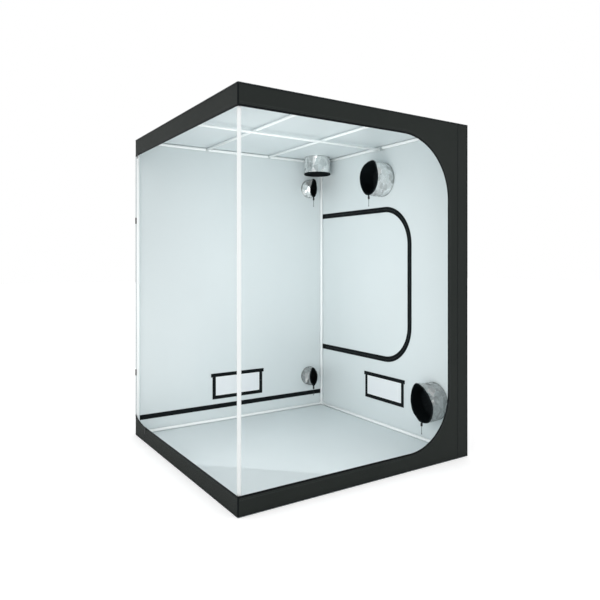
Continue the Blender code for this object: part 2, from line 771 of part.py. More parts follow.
def flap_outline():
    """The flap below its fold line, with the wider strip that carries it."""
    half = VENT_WIDTH / 2
    ear = half + VENT_EAR
    return [
        (-ear, 0),
        (-ear, -VENT_TAPE),
        (-half, -VENT_TAPE),
        (-half, -VENT_HEIGHT),
        (half, -VENT_HEIGHT),
        (half, -VENT_TAPE),
        (ear, -VENT_TAPE),
        (ear, 0),
    ]


def make_vents(white, black):
    """Each flap's own origin lies on its fold, on the face that looks into the tent."""
    back_centre = (BACK_VENT_X, BACK_VENT_Z)
    right_centre = (RIGHT_VENT_Y, RIGHT_VENT_Z)
    place("back_vent_screen", vent_screen(back_centre, OUT_Y, IN_Y, along_y), black)
    place("right_vent_screen", vent_screen(right_centre, OUT_X, IN_X, along_x), black)
    flap_back = prism(flap_outline(), 0, FLAP_THICKNESS, along_y)
    flap_right = prism(flap_outline(), 0, FLAP_THICKNESS, along_x)
    lift = VENT_HEIGHT / 2
    back_face = IN_Y - FIT - FLAP_THICKNESS
    right_face = IN_X - FIT - FLAP_THICKNESS
    back_fold = (BACK_VENT_X, back_face, BACK_VENT_Z + lift)
    right_fold = (right_face, RIGHT_VENT_Y, RIGHT_VENT_Z + lift)
    place("back_vent_flap", flap_back, white, back_fold)
    place("right_vent_flap", flap_right, white, right_fold)


def make_strip(black):
    face = IN_Y - FIT
    half = IN_X - FIT
    low = (-half, face - STRIP_THICKNESS, STRIP_LOW)
    place("back_wall_strip", block(low, (half, face, STRIP_LOW + STRIP_HEIGHT)), black)


# Duct ports: local Z points into the tent and local Y up the wall
def make_port_table():
    """Where each port sits, how large it is and how its mouth is drawn in."""
    left = (-1, 0, 0)
    front = (0, -1, 0)
    up = (0, 0, 1)
    back_low = (BACK_PORT_X, IN_Y, BACK_PORT_LOW)
    back_high = (BACK_PORT_X, IN_Y, BACK_PORT_HIGH)
    right_low = (IN_X, RIGHT_PORT_LOW_Y, RIGHT_PORT_LOW)
    right_high = (IN_X, RIGHT_PORT_HIGH_Y, RIGHT_PORT_HIGH)
    roof = (ROOF_PORT_X, ROOF_PORT_Y, ROOF_LOW)
    small = {"radius": PORT_SMALL_RADIUS, "reach": PORT_SMALL_REACH, "pouch": PORT_POUCH}
    upper = {"radius": PORT_LARGE_RADIUS, "reach": PORT_UPPER_REACH, "pouch": PORT_POUCH}
    lower = {"radius": PORT_LARGE_RADIUS, "reach": PORT_LOWER_REACH, "pouch": PORT_POUCH}
    above = {"radius": PORT_ROOF_RADIUS, "reach": PORT_ROOF_REACH, "pouch": ROOF_POUCH}
    tight = {"pinch": TIGHT_PINCH_SHARE, "power": POINT_POWER, "tail": "mouth"}
    loose = {"pinch": LOOSE_PINCH_SHARE, "power": POINT_POWER, "tail": "mouth"}
    round_mouth = {"pinch": 0, "power": 2, "tail": "pouch"}
    return {
        "back_upper_port": {**small, **tight, "at": back_high, "inward": front, "up": up},
        "back_lower_port": {**small, **tight, "at": back_low, "inward": front, "up": up},
        "right_upper_port": {**upper, **loose, "at": right_high, "inward": left, "up": up},
        "right_lower_port": {**lower, **loose, "at": right_low, "inward": left, "up": up},
        "roof_port": {
            **above,
            **round_mouth,
            "at": roof,
            "inward": (0, 0, -1),
            "up": (0, 1, 0),
        },
    }


def port_ring(port, inset, share, level, gather=1.0, pleat=0.0):
    """A ring that goes from round to an upright pointed oval as share goes from 0 to 1.

    Every other point is drawn in by the pleat, but never the ones at the top and bottom.
    """
    quarter = PORT_SIDES // 4
    drawn = share**2
    power = 2 + (port["power"] - 2) * drawn
    half_u = port["radius"] * (1 - port["pinch"] * drawn) - inset
    half_v = port["radius"] - inset
    points = []
    for side in range(PORT_SIDES):
        angle = math.tau * side / PORT_SIDES
        scale = gather * (1 - pleat * ((side + quarter) % 2))
        cosine, sine = math.cos(angle), math.sin(angle)
        u = math.copysign(abs(cosine) ** (2 / power), cosine) * half_u * scale
        v = math.copysign(abs(sine) ** (2 / power), sine) * half_v * scale
        points.append(Vector((u, v, level)))
    return points


def sleeve_shape(port):
    """The silver sleeve, from the wall to the hem of its black lining."""
    rings = []
    for inset, shares in ((0, MOUTH_SHARES), (SLEEVE_WALL, reversed(MOUTH_SHARES))):
        for share in shares:
            level = max(FIT, share * port["reach"])
            rings.append(port_ring(port, inset, share, level))
    return loft(rings, False, False, looped=True)


def sock_shape(port):
    """The black lining: gathered shut outside the wall and hemmed round the mouth."""
    reach = port["reach"]
    outside = SLEEVE_WALL + SOCK_GAP
    inside = outside + SOCK_WALL
    hem_low = reach + FIT
    hem_top = hem_low + HEM_LENGTH
    rings = []
    for depth, gather, pleat in reversed(GATHER_SHARES):
        level = -CLOTH - port["pouch"] * depth
        rings.append(port_ring(port, outside, 0, level, gather, pleat))
    for share in MOUTH_SHARES:
        rings.append(port_ring(port, outside, share, share * reach))
    rings.append(port_ring(port, outside, 1, hem_low))
    rings.append(port_ring(port, -HEM_STEP, 1, hem_low))
    rings.append(port_ring(port, -HEM_STEP, 1, hem_top))
    rings.append(port_ring(port, inside, 1, hem_top))
    for share in reversed(MOUTH_SHARES):
        rings.append(port_ring(port, inside, share, share * reach))
    for depth, gather, pleat in GATHER_SHARES:
        level = -CLOTH - port["pouch"] * depth + SOCK_WALL
        rings.append(port_ring(port, inside, 0, level, gather, pleat))
    return loft(rings, True, True)


def tail_start(port):
    """Where the drawcord leaves the sock: (distance from the axis, level)."""
    if port["tail"] == "mouth":
        return port["radius"] + HEM_STEP, port["reach"] + FIT + HEM_LENGTH / 2
    height = FIT + LOCK_RADIUS
    first, second = GATHER_SHARES[0], GATHER_SHARES[1]
    share = height / (port["pouch"] * second[0])
    gather = first[1] + (second[1] - first[1]) * share
    return (port["radius"] - SLEEVE_WALL - SOCK_GAP) * gather, -CLOTH - height


def along_tail(level):
    """Puts a shape turned about w onto the tail's line, w running down local Y."""

    def put(u, v, w):
        return Vector((u, -w, level + v))

    return put


def make_ports(silver, black, plastic):
    for name, port in make_port_table().items():
        inward, up = Vector(port["inward"]), Vector(port["up"])
        turn = Matrix((up.cross(inward), up, inward)).transposed().to_4x4()
        place(f"{name}_sleeve", sleeve_shape(port), silver, port["at"], turn)

        start, level = tail_start(port)
        put = along_tail(level)
        end = start + CORD_TAIL
        cord = [(CORD_RADIUS, start - CORD_SUNK), (CORD_RADIUS, end)]
        knot = []
        for step in range(KNOT_STEPS):
            angle = math.pi * (step + 1) / (KNOT_STEPS + 1)
            across = CORD_KNOT_RADIUS * math.sin(angle)
            knot.append((across, end - CORD_KNOT_RADIUS * math.cos(angle)))
        pieces = [turned(cord, SMALL_SIDES, put), turned(knot, SMALL_SIDES, put)]
        sock = combine(sock_shape(port), pieces, "UNION")
        place(f"{name}_sock", sock, black, port["at"], turn)

        top = start + LOCK_GAP
        bore = CORD_RADIUS + FIT
        shell = [
            (bore, 0),
            (LOCK_RADIUS - LOCK_ROUND, 0),
            (LOCK_RADIUS, LOCK_ROUND),
            (LOCK_RADIUS, LOCK_LENGTH - LOCK_ROUND),
            (LOCK_RADIUS - LOCK_ROUND, LOCK_LENGTH),
            (bore, LOCK_LENGTH),
        ]
        lock = turned_ring(shell, PIN_SIDES, along_tail(0))
        local = turn @ Vector((0, -top, level))
        place(f"{name}_cord_lock", lock, plastic, Vector(port["at"]) + local, turn)


def build_all():
    clear_scene()
    white_tube = make_material("white_coated_steel", (0.86, 0.93, 0.92), 0.35, 0.0)
    grey_hub = make_material("connector_plastic", (0.80, 0.84, 0.84), 0.45, 0.0)
    white_cloth = make_material("reflective_lining", (0.62, 0.68, 0.69), 0.40, 0.0)
    floor_cloth = make_material("floor_lining", (0.54, 0.62, 0.62), 0.45, 0.0)
    black_cloth = make_material("charcoal_cloth", (0.032, 0.037, 0.035), 0.75, 0.0)
    black_tape = make_material("black_tape", (0.006, 0.010, 0.011), 0.60, 0.0)
    silver = make_material("silver_sleeve", (0.70, 0.72, 0.72), 0.30, 0.6)
    metal = make_material("black_zip_metal", (0.010, 0.011, 0.012), 0.35, 0.8)
    make_frame(white_tube, grey_hub)
    make_ceiling_bars(white_tube)
    make_cover(white_cloth, black_cloth, floor_cloth)
    make_rolled_door(black_cloth)
    make_straps(black_tape)
    make_main_zip(black_tape)
    make_sliders(metal)
    make_access_door(white_cloth, black_tape)
    make_vents(white_cloth, black_tape)
    make_strip(black_tape)
    make_ports(silver, black_tape, metal)


build_all()
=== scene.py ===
# %% [markdown]
# # Dressing an indoor grow tent
# The tent's solids are already modelled and packed. This lesson gives them the look of
# the real thing: coated canvas outside, pale film inside, white tubes, zips, vents and drawcord
# ports. Everything is in metres with +Z up. The doorway takes up the front (-Y) and the left (-X).

# %% Load the imported tent
from itertools import product
from math import acos, atan2, ceil, copysign, cos, hypot, pi, prod, radians, sin, sqrt, tau
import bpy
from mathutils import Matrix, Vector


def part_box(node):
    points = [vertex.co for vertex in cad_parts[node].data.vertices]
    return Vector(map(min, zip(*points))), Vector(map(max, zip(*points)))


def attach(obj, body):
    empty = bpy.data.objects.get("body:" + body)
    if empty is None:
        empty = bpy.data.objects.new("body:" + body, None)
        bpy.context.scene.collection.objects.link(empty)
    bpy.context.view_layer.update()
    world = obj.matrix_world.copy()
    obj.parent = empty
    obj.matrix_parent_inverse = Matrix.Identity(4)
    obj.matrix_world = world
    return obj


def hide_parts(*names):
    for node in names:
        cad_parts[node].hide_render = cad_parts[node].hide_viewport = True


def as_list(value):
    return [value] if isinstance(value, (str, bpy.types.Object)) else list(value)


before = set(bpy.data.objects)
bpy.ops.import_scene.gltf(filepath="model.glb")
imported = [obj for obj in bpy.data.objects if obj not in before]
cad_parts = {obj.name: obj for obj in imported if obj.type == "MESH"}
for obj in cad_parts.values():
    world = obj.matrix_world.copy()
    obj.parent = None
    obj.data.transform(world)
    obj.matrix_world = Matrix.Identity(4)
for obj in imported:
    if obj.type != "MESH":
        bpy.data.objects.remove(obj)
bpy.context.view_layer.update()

from types import SimpleNamespace

import bmesh
import bpy
import numpy as np
from mathutils import Matrix, Vector, geometry, kdtree, noise


def rounded(values):
    return [round(float(value), 4) for value in values]


# %% [markdown]
# ## The camera
# The camera stands level, 1.16 m up, and looks at the near corner of the tent. A level camera
# keeps upright edges upright. A small shift moves the tent in the frame without tilting it.

# %% Place the camera
EYE = (-1.944, -3.127, 1.162)
EYE_TURN = radians(-33.61)
LENS_MM = 34.73
SHIFT = (-0.0159, -0.0632)


def add_object(name, data):
    item = bpy.data.objects.new(name, data)
    bpy.context.scene.collection.objects.link(item)
    return item


camera = add_object("camera", bpy.data.cameras.new("camera"))
camera.location = EYE
camera.rotation_euler = (pi / 2, 0, EYE_TURN)
camera.data.lens = LENS_MM
camera.data.shift_x, camera.data.shift_y = SHIFT
bpy.context.scene.camera = camera
bpy.context.scene.view_settings.view_transform = "Standard"
print("camera at", EYE, "lens", LENS_MM)

# %% [markdown]
# ## Sizes that everything follows
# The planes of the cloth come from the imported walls, so each new piece lands where the solid is.
# A wall is laid out flat, as u and v, with a depth measured from its inside face outwards. One
# function for each wall turns these into a point. The two doorway walls are one strip, folded.

# %% Read the main planes and map a flat point to each wall
INSIDE, OUTSIDE = (corner.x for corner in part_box("right_wall"))
WALL_LOW, WALL_TOP = (corner.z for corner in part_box("back_wall"))
ROOF_INSIDE, FLOOR_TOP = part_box("roof_panel")[0].z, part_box("floor_panel")[1].z
CLOTH, SIDE = OUTSIDE - INSIDE, 2 * OUTSIDE
FIT = 0.0003
FOLD_RADIUS = 0.005


def on_back(u, v, depth):
    return Vector((u, INSIDE + depth, v))


def on_right(u, v, depth):
    return Vector((INSIDE + depth, u, v))


def on_roof(u, v, depth):
    return Vector((u, v, ROOF_INSIDE + depth))


def on_floor(u, v, depth):
    return Vector((u, v, FLOOR_TOP - depth))


def on_doorway(s, v, depth):
    """The two doorway walls unrolled: s is 0 at the near corner, and grows along the front."""
    if abs(s) < FOLD_RADIUS:
        centre = -OUTSIDE + FOLD_RADIUS
        angle = pi + pi / 4 * (1 + s / FOLD_RADIUS)
        reach = FOLD_RADIUS - CLOTH + depth
        return Vector((centre + reach * cos(angle), centre + reach * sin(angle), v))
    if s < 0:
        return Vector((-INSIDE - depth, -OUTSIDE - s, v))
    return Vector((-OUTSIDE + s, -INSIDE - depth, v))


print("cloth planes and thickness", rounded((INSIDE, OUTSIDE, CLOTH)))

# %% [markdown]
# ## Colours and nodes
# A material is a small network of nodes. Colours are written as the hex values that a picture
# editor shows, and one function turns them into the linear values that shaders use. One small
# function adds any node with its links. Patterns take their place from Object coordinates, in
# metres, so a 2 mm grain stays 2 mm on every piece.


def linear(code):
    values = [int(code[start:start + 2], 16) / 255 for start in (1, 3, 5)]
    toe, scale, lift, power = 0.04045, 12.92, 0.055, 2.4
    return (*[v / scale if v <= toe else ((v + lift) / (1 + lift)) ** power for v in values], 1.0)


def connect(tree, node, inputs):
    """Sets inputs to a value, a socket, or a node, which stands for its first output."""
    for key, value in inputs.items():
        if isinstance(value, bpy.types.Node):
            value = value.outputs[0]
        if isinstance(value, bpy.types.NodeSocket):
            tree.links.new(value, node.inputs[key])
        else:
            node.inputs[key].default_value = value


def add_node(tree, kind, inputs=(), **settings):
    node = tree.nodes.new(kind)
    for name, value in settings.items():
        setattr(node, name, value)
    connect(tree, node, dict(inputs))
    return node


def mottled(tree, light, dark, patch):
    """A colour that drifts between two hex values over patches of the given size."""
    place = add_node(tree, "ShaderNodeTexCoord").outputs["Object"]
    cloud = add_node(tree, "ShaderNodeTexNoise", {"Vector": place, "Scale": 1 / patch})
    tones = {"Factor": cloud, "A": linear(light), "B": linear(dark)}
    return add_node(tree, "ShaderNodeMix", tones, data_type="RGBA").outputs["Result"]


def uneven(tree, grain, detail, depth, strength, under=None):
    """A bump from noise of the given grain. A bump laid under it is passed on."""
    place = add_node(tree, "ShaderNodeTexCoord").outputs["Object"]
    noisy = {"Vector": place, "Scale": 1 / grain, "Detail": detail}
    inputs = {"Height": add_node(tree, "ShaderNodeTexNoise", noisy)}
    inputs.update({"Distance": depth, "Strength": strength})
    if under is not None:
        inputs["Normal"] = under
    return add_node(tree, "ShaderNodeBump", inputs)


def weave(tree, spacing):
    """The height of a plain weave, whose threads follow the cloth's own UV map in metres."""
    flat = add_node(tree, "ShaderNodeUVMap", uv_map="cloth")
    parts = add_node(tree, "ShaderNodeSeparateXYZ", {0: flat})
    waves = {}
    for axis in (0, 1):
        step = {0: parts.outputs[axis], 1: pi / spacing}
        turn = add_node(tree, "ShaderNodeMath", step, operation="MULTIPLY")
        waves[axis] = add_node(tree, "ShaderNodeMath", {0: turn}, operation="SINE")
    return add_node(tree, "ShaderNodeMath", waves, operation="MULTIPLY")


def make_material(name, slot, pattern, **values):
    """A material from one Principled shader, with plain values and a pattern's inputs."""
    material = bpy.data.materials.new(name)
    material.use_nodes = True
    tree = material.node_tree
    plain = {key.replace("_", " "): value for key, value in values.items()}
    connect(tree, tree.nodes["Principled BSDF"], {**plain, **pattern(tree)})
    return material


def make_finish(name, slot, light, dark, patch, grain, depth, strength, detail=2, **values):
    """A material with drifting tones and a noise bump."""
    def pattern(tree):
        relief = uneven(tree, grain, detail, depth, strength)
        return {"Base Color": mottled(tree, light, dark, patch), "Normal": relief}

    return make_material(name, slot, pattern, **values)


print("mid grey in linear light", rounded(linear("#808080")))

# %% [markdown]
# ## Cloth finishes
# The outside is polyester oxford canvas with a thin coating: dark, matt, with a fine square
# weave. Its threads are 0.5 mm apart, too fine to show, so the pattern is drawn at 1.6 mm.
# The inside is white reflective film bonded to the canvas: smooth, satin, slightly embossed.
# Both are bumped twice, by soft creases and then by the fine pattern, as real relief this
# small would need millions of faces.

# %% Canvas and lining
CANVAS_THREAD, CANVAS_CREASE = 0.0016, 1 / 9
EMBOSS, FILM_CREASE, FILM_PATCH = 0.004, 1 / 7, 0.5


def canvas_pattern(tree):
    threads = weave(tree, CANVAS_THREAD)
    band = {"Value": threads, "From Min": -1.0, "From Max": 1.0, "To Min": 0.86, "To Max": 1.14}
    shade = add_node(tree, "ShaderNodeMapRange", band)
    lit = {0: mottled(tree, "#282c2a", "#232826", patch=0.22), "Scale": shade}
    crease = uneven(tree, CANVAS_CREASE, detail=5, depth=0.004, strength=0.35)
    relief = {"Height": threads, "Distance": 0.0004, "Strength": 0.5, "Normal": crease}
    return {
        "Base Color": add_node(tree, "ShaderNodeVectorMath", lit, operation="SCALE"),
        "Normal": add_node(tree, "ShaderNodeBump", relief),
    }


def make_film(name, slot, light, dark, roughness):
    def pattern(tree):
        place = add_node(tree, "ShaderNodeTexCoord").outputs["Object"]
        cells = add_node(tree, "ShaderNodeTexVoronoi", {"Vector": place, "Scale": 1 / EMBOSS})
        crease = uneven(tree, FILM_CREASE, detail=4, depth=0.003, strength=0.25)
        relief = {"Height": cells, "Distance": 0.0003, "Strength": 0.35, "Normal": crease}
        bump = add_node(tree, "ShaderNodeBump", relief)
        return {"Base Color": mottled(tree, light, dark, FILM_PATCH), "Normal": bump}

    return make_material(name, slot, pattern, Roughness=roughness, IOR=1.52)


CANVAS = make_material(
    "coated_oxford_canvas", "charcoal_cloth", canvas_pattern, Roughness=0.62, Specular_IOR_Level=0.12
)
LINING = make_film("reflective_lining_film", "reflective_lining", "#dae2e3", "#d4dddf", 0.38)
FLOOR_FILM = make_film("reflective_floor_film", "floor_lining", "#e3ebed", "#dde6e8", 0.45)
FLAP_FILM = make_film("white_flap_film", "reflective_lining", "#e9edef", "#e3e8eb", 0.36)
print("canvas thread", CANVAS_THREAD, "film emboss", EMBOSS)

# %% [markdown]
# Tapes and webbing are woven black polyester, a little glossier than the canvas because their
# yarn is smooth. A port's lining is soft thin nylon with small creases. Its sleeve is aluminised
# film, which looks like foil: flat facets, each turned its own way and as bright as what it
# mirrors. A cell pattern stretched along the sleeve turns the normals, and its colour holds
# painted light: a painted reflection tone for each facet, a painted highlight along the facet
# edges, and painted shade that darkens the sleeves lower down.

# %% Tape, nylon lining and silver film
TAPE_THREAD = 0.0022
SOCK_CREASE = 1 / 60
FACET, FACET_TALL, FACET_TILT = 0.026, 0.060, 1.1
FINE_CREASE = 0.006


def tape_pattern(tree):
    ribs = {"Height": weave(tree, TAPE_THREAD), "Distance": 0.0005, "Strength": 0.6}
    bump = add_node(tree, "ShaderNodeBump", ribs)
    return {"Base Color": mottled(tree, "#0c1315", "#080d0f", patch=0.05), "Normal": bump}


def silver_pattern(tree):
    place = add_node(tree, "ShaderNodeTexCoord").outputs["Object"]
    cell = {0: place, 1: (1 / FACET, 1 / FACET, 1 / FACET_TALL)}
    scaled = add_node(tree, "ShaderNodeVectorMath", cell, operation="MULTIPLY")
    bend = add_node(tree, "ShaderNodeTexNoise", {"Vector": place, "Scale": 1 / FACET})
    bent = add_node(tree, "ShaderNodeVectorMath", {0: scaled, 1: bend.outputs["Color"]})
    cells = {"Vector": bent, "Scale": 1.0}
    chance = add_node(tree, "ShaderNodeTexVoronoi", cells).outputs["Color"]
    spread = add_node(tree, "ShaderNodeVectorMath", {0: chance, 1: (-0.5, -0.5, -0.5)})
    lean = {0: spread, "Scale": FACET_TILT}
    tilt = add_node(tree, "ShaderNodeVectorMath", lean, operation="SCALE")
    surface = add_node(tree, "ShaderNodeNewGeometry").outputs["Normal"]
    turned = add_node(tree, "ShaderNodeVectorMath", {0: surface, 1: tilt})
    facing = add_node(tree, "ShaderNodeVectorMath", {0: turned}, operation="NORMALIZE")
    tone = mottled(tree, "#f0f4f4", "#dde2e2", patch=0.03)
    # Distance to a facet's edge, which sets a painted highlight along the creases.
    edge = add_node(tree, "ShaderNodeTexVoronoi", cells, feature="DISTANCE_TO_EDGE")
    # Height above the floor, which sets painted shade: the lower a sleeve, the darker its film.
    height = add_node(tree, "ShaderNodeSeparateXYZ", {0: place}).outputs["Z"]
    # A random value for each facet, which sets a painted reflection tone. The three scale the foil's
    # tone below.
    first = add_node(tree, "ShaderNodeSeparateColor", {0: chance})
    painted_light_levels = (
        {"Value": first, "To Min": 0.62, "To Max": 1.0},
        {"Value": edge, "From Max": 0.06, "To Min": 1.3, "To Max": 1.0},
        {"Value": height, "From Min": 0.3, "From Max": 1.95, "To Min": 0.66, "To Max": 1.15},
    )
    for shade in painted_light_levels:
        lit = {0: tone, "Scale": add_node(tree, "ShaderNodeMapRange", shade)}
        tone = add_node(tree, "ShaderNodeVectorMath", lit, operation="SCALE")
    fine = uneven(tree, FINE_CREASE, detail=3, depth=0.002, strength=0.3, under=facing)
    return {"Base Color": tone, "Normal": fine}


TAPE = make_material(
    "black_woven_tape", "black_tape", tape_pattern, Roughness=0.55, Specular_IOR_Level=0.1
)
SOCK = make_finish(
    "black_nylon_lining", "black_tape", "#181f21", "#101517", patch=0.03, grain=SOCK_CREASE,
    depth=0.002, strength=0.4, detail=4, Roughness=0.7, Specular_IOR_Level=0.1,
)
SILVER = make_material(
    "crinkled_aluminised_film", "silver_sleeve", silver_pattern, Metallic=0.6, Roughness=0.22
)
print("tape thread", TAPE_THREAD, "silver facet", FACET, "by", FACET_TALL)

# %% [markdown]
# ## Hard finishes
# The tubes are steel with a white powder coat, which cures with a faint orange peel about 2 mm
# across. The connectors are moulded nylon with the fine grain of an eroded tool, 0.8 mm across.
# Sliders are die-cast zinc, painted black. Cords, piping and thread get the same fine grain.

# %% Powder coat, painted metal, moulded plastic and thread
def make_moulded(name, slot, light, dark, roughness):
    return make_finish(
        name, slot, light, dark, patch=0.04, grain=0.0008, depth=0.0001, strength=0.4,
        Roughness=roughness,
    )


POWDER_COAT = make_finish(
    "white_powder_coat", "white_coated_steel", "#fbfefe", "#f6fbfb", patch=0.3, grain=0.002,
    depth=0.0001, strength=0.3, Roughness=0.28,
)
ZIP_METAL = make_finish(
    "black_painted_zinc", "zip_metal", "#1b1d1f", "#101214", patch=0.006, grain=0.0015,
    depth=0.0001, strength=0.3, Metallic=0.4, Roughness=0.32,
)
NYLON = make_moulded("white_moulded_nylon", "connector_plastic", "#eef2f2", "#e6ebeb", 0.45)
# The bars' hooked ends are moulded plastic, coloured greyer than the white nylon: partly the
# plastic, partly painted shade where the bars meet the rails.
HOOK_PLASTIC_WITH_PAINTED_SHADE = make_moulded("pale_grey_plastic_with_painted_shade", "connector_plastic", "#d3dada", "#c6cece", 0.42)
LOCK_PLASTIC = make_moulded("black_moulded_plastic", "cord_lock_plastic", "#15181a", "#0e1012", 0.3)
COIL = make_moulded("black_nylon_zip_teeth", "black_tape", "#121618", "#0c0f11", 0.45)
THREAD = make_moulded("grey_sewing_thread", "charcoal_cloth", "#4a4f4e", "#3c4140", 0.6)
BLACK_THREAD = make_moulded("black_sewing_thread", "black_tape", "#181c1e", "#101314", 0.7)
RIM_CORD = make_moulded("pale_grey_piping", "black_tape", "#9aa3a1", "#8a9391", 0.6)
DRAWCORD = make_moulded("black_braided_cord", "black_tape", "#181c1e", "#0d1012", 0.6)

# %% [markdown]
# ## Meshes and pieces
# Every curved piece here is a skin through rows of points, and every flat one is a thin closed
# cloth. These helpers build them, lay a UV map in metres on them, and hang them on a body. The
# UV map runs flat along each face's main axis, so woven threads stay square to the wall.

# %% Mesh helpers
def skin(rows, looped=False, capped=False):
    """Points and faces of a surface through closed rows of points."""
    count = len(rows[0])
    points = [point for row in rows for point in row]
    faces = []
    for row in range(len(rows) if looped else len(rows) - 1):
        here, there = row * count, (row + 1) % len(rows) * count
        for column in range(count):
            after = (column + 1) % count
            faces.append((here + column, here + after, there + after, there + column))
    if capped:
        faces.append(tuple(reversed(range(count))))
        faces.append(tuple(range(len(points) - count, len(points))))
    return points, faces


def to_mesh(*shapes):
    """One mesh from several shapes, with its faces pointing out."""
    points, faces = [], []
    for more_points, more_faces in shapes:
        first = len(points)
        points += [tuple(point) for point in more_points]
        faces += [tuple(first + index for index in face) for face in more_faces]
    mesh = bpy.data.meshes.new("shape")
    mesh.from_pydata(points, [], faces)
    work = bmesh.new()
    work.from_mesh(mesh)
    bmesh.ops.recalc_face_normals(work, faces=work.faces)
    work.to_mesh(mesh)
    work.free()
    return mesh


def measured(items, key, width, kind=float):
    values = np.empty(len(items) * width, kind)
    items.foreach_get(key, values)
    return values.reshape(-1, width)


def lay_threads(mesh):
    """A UV map in metres, projected along each face's main axis."""
    place = measured(mesh.vertices, "co", 3)[measured(mesh.loops, "vertex_index", 1, np.int32)[:, 0]]
    sides = measured(mesh.polygons, "loop_total", 1, np.int32)[:, 0]
    main = np.repeat(np.abs(measured(mesh.polygons, "normal", 3)).argmax(axis=1), sides)
    index = np.arange(len(place))
    across, up = place[index, np.where(main == 0, 1, 0)], place[index, np.where(main == 2, 1, 2)]
    layer = mesh.uv_layers.new(name="cloth")
    layer.data.foreach_set("uv", np.stack((across, up), axis=1).ravel())


def add_piece(name, shapes, material, body="tent", angle=30, stands_for=None):
    """Makes shapes or a ready mesh a piece, smooth except at edges sharper than angle."""
    mesh = shapes if isinstance(shapes, bpy.types.Mesh) else to_mesh(*shapes)
    lay_threads(mesh)
    mesh.name = name
    if not mesh.materials:
        mesh.materials.append(material)
    mesh.shade_smooth()
    mesh.set_sharp_from_angle(angle=radians(angle))
    piece = add_object(name, mesh)
    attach(piece, body)
    if stands_for:
        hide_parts(stands_for)
    return piece


def net(rows, columns, place, **ends):
    """A skin with a point for every row and column, from a function of both."""
    return skin([[place(row, column) for column in columns] for row in rows], **ends)


def shares(steps):
    return [step / steps for step in range(steps + 1)]


def turns(sides):
    return [tau * side / sides for side in range(sides)]


def circle(radius, sides):
    return [(radius * cos(angle), radius * sin(angle)) for angle in turns(sides)]


def lathe(profile, start, direction, sides, looped=False):
    """A shape turned about a line, from (radius, distance) pairs."""
    direction = Vector(direction).normalized()
    side = direction.orthogonal().normalized()
    up = direction.cross(side)
    rows = []
    for radius, distance in profile:
        middle = Vector(start) + direction * distance
        rows.append([middle + side * u + up * v for u, v in circle(radius, sides)])
    return skin(rows, looped=looped, capped=not looped)


print("a skin of two squares has", len(skin([circle(1, 4)] * 2)[1]), "faces")

# %% [markdown]
# ## Things that repeat along a path
# Stitches and zip teeth are one small shape, repeated at an even spacing. A Geometry Nodes tree
# does that: it walks a path, puts the shape on each step, turns it to the path and away from the
# cloth, and realizes the copies so that they export as mesh. A loop could place them too, but a
# tree spaces thousands of copies evenly round bends in one go.

# %% Build the tree that repeats a shape
def make_repeat_tree():
    tree = bpy.data.node_groups.new("repeat_along_path", "GeometryNodeTree")
    kinds = {"Path": "Geometry", "Spacing": "Float", "Shape": "Object", "Finish": "Material"}
    for name, kind in kinds.items():
        tree.interface.new_socket(name=name, in_out="INPUT", socket_type=f"NodeSocket{kind}")
    tree.interface.new_socket(name="Copies", in_out="OUTPUT", socket_type="NodeSocketGeometry")
    given = add_node(tree, "NodeGroupInput").outputs
    path = add_node(tree, "GeometryNodeMeshToCurve", {"Mesh": given["Path"]})
    walk = {"Curve": path, "Length": given["Spacing"]}
    steps = add_node(tree, "GeometryNodeResampleCurve", walk, mode="LENGTH")
    named = {"Name": "facing"}
    facing = add_node(tree, "GeometryNodeInputNamedAttribute", named, data_type="FLOAT_VECTOR")
    away = {"Vector": facing.outputs["Attribute"]}
    upright = add_node(tree, "FunctionNodeAlignRotationToVector", away, axis="Z")
    turn = {"Rotation": upright, "Vector": add_node(tree, "GeometryNodeInputTangent")}
    along = add_node(tree, "FunctionNodeAlignRotationToVector", turn, axis="X", pivot_axis="Z")
    shape = add_node(tree, "GeometryNodeObjectInfo", {"Object": given["Shape"]})
    put = {"Points": steps, "Instance": shape.outputs["Geometry"], "Rotation": along}
    copies = add_node(tree, "GeometryNodeInstanceOnPoints", put)
    real = add_node(tree, "GeometryNodeRealizeInstances", {"Geometry": copies})
    coated = {"Geometry": real, "Material": given["Finish"]}
    add_node(tree, "NodeGroupOutput", {"Copies": add_node(tree, "GeometryNodeSetMaterial", coated)})
    return tree


REPEAT = make_repeat_tree()


def trace(path, put, depth, side=1):
    """Points of a flat path on a wall, and the way its outside (1) or inside (-1) faces."""
    points = [put(u, v, depth) for u, v in path]
    ways = [(put(u, v, depth + CLOTH) - put(u, v, depth)).normalized() * side for u, v in path]
    return points, ways


def settled(item, *helpers):
    """The plain mesh that an object's modifiers give. The objects are then taken away."""
    graph = bpy.context.evaluated_depsgraph_get()
    mesh = bpy.data.meshes.new_from_object(item.evaluated_get(graph))
    for used in (item, *helpers):
        bpy.data.objects.remove(used)
    return mesh


def repeat_shape(name, traces, kind, material, body="tent"):
    """Repeats a small mesh along one or more traces and makes the result one piece."""
    shape, spacing = kind
    points, edges, facings = [], [], []
    for row, ways in traces:
        edges += [(len(points) + step, len(points) + step + 1) for step in range(len(row) - 1)]
        points += [tuple(point) for point in row]
        facings += ways
    path = bpy.data.meshes.new("path")
    path.from_pydata(points, edges, [])
    layer = path.attributes.new("facing", "FLOAT_VECTOR", "POINT")
    layer.data.foreach_set("vector", [value for way in facings for value in way])
    walker, stamp = add_object("path", path), add_object("stamp", shape)
    modifier = walker.modifiers.new("repeat", "NODES")
    modifier.node_group = REPEAT
    values = {"Spacing": spacing, "Shape": stamp, "Finish": material}
    for socket in REPEAT.interface.items_tree:
        if socket.name in values:
            modifier[socket.identifier] = values[socket.name]
    mesh = settled(walker, stamp)
    print(name, "copies", len(mesh.polygons) // len(shape.polygons))
    return add_piece(name, mesh, material, body, angle=40)


print("repeat tree nodes", len(REPEAT.nodes))

# %% [markdown]
# A stitch is a short thread that dips into the cloth at both ends, so it is a lathe shape with
# thin ends. A zip tooth is a small block with its corners taken off, centred on the tape's edge.

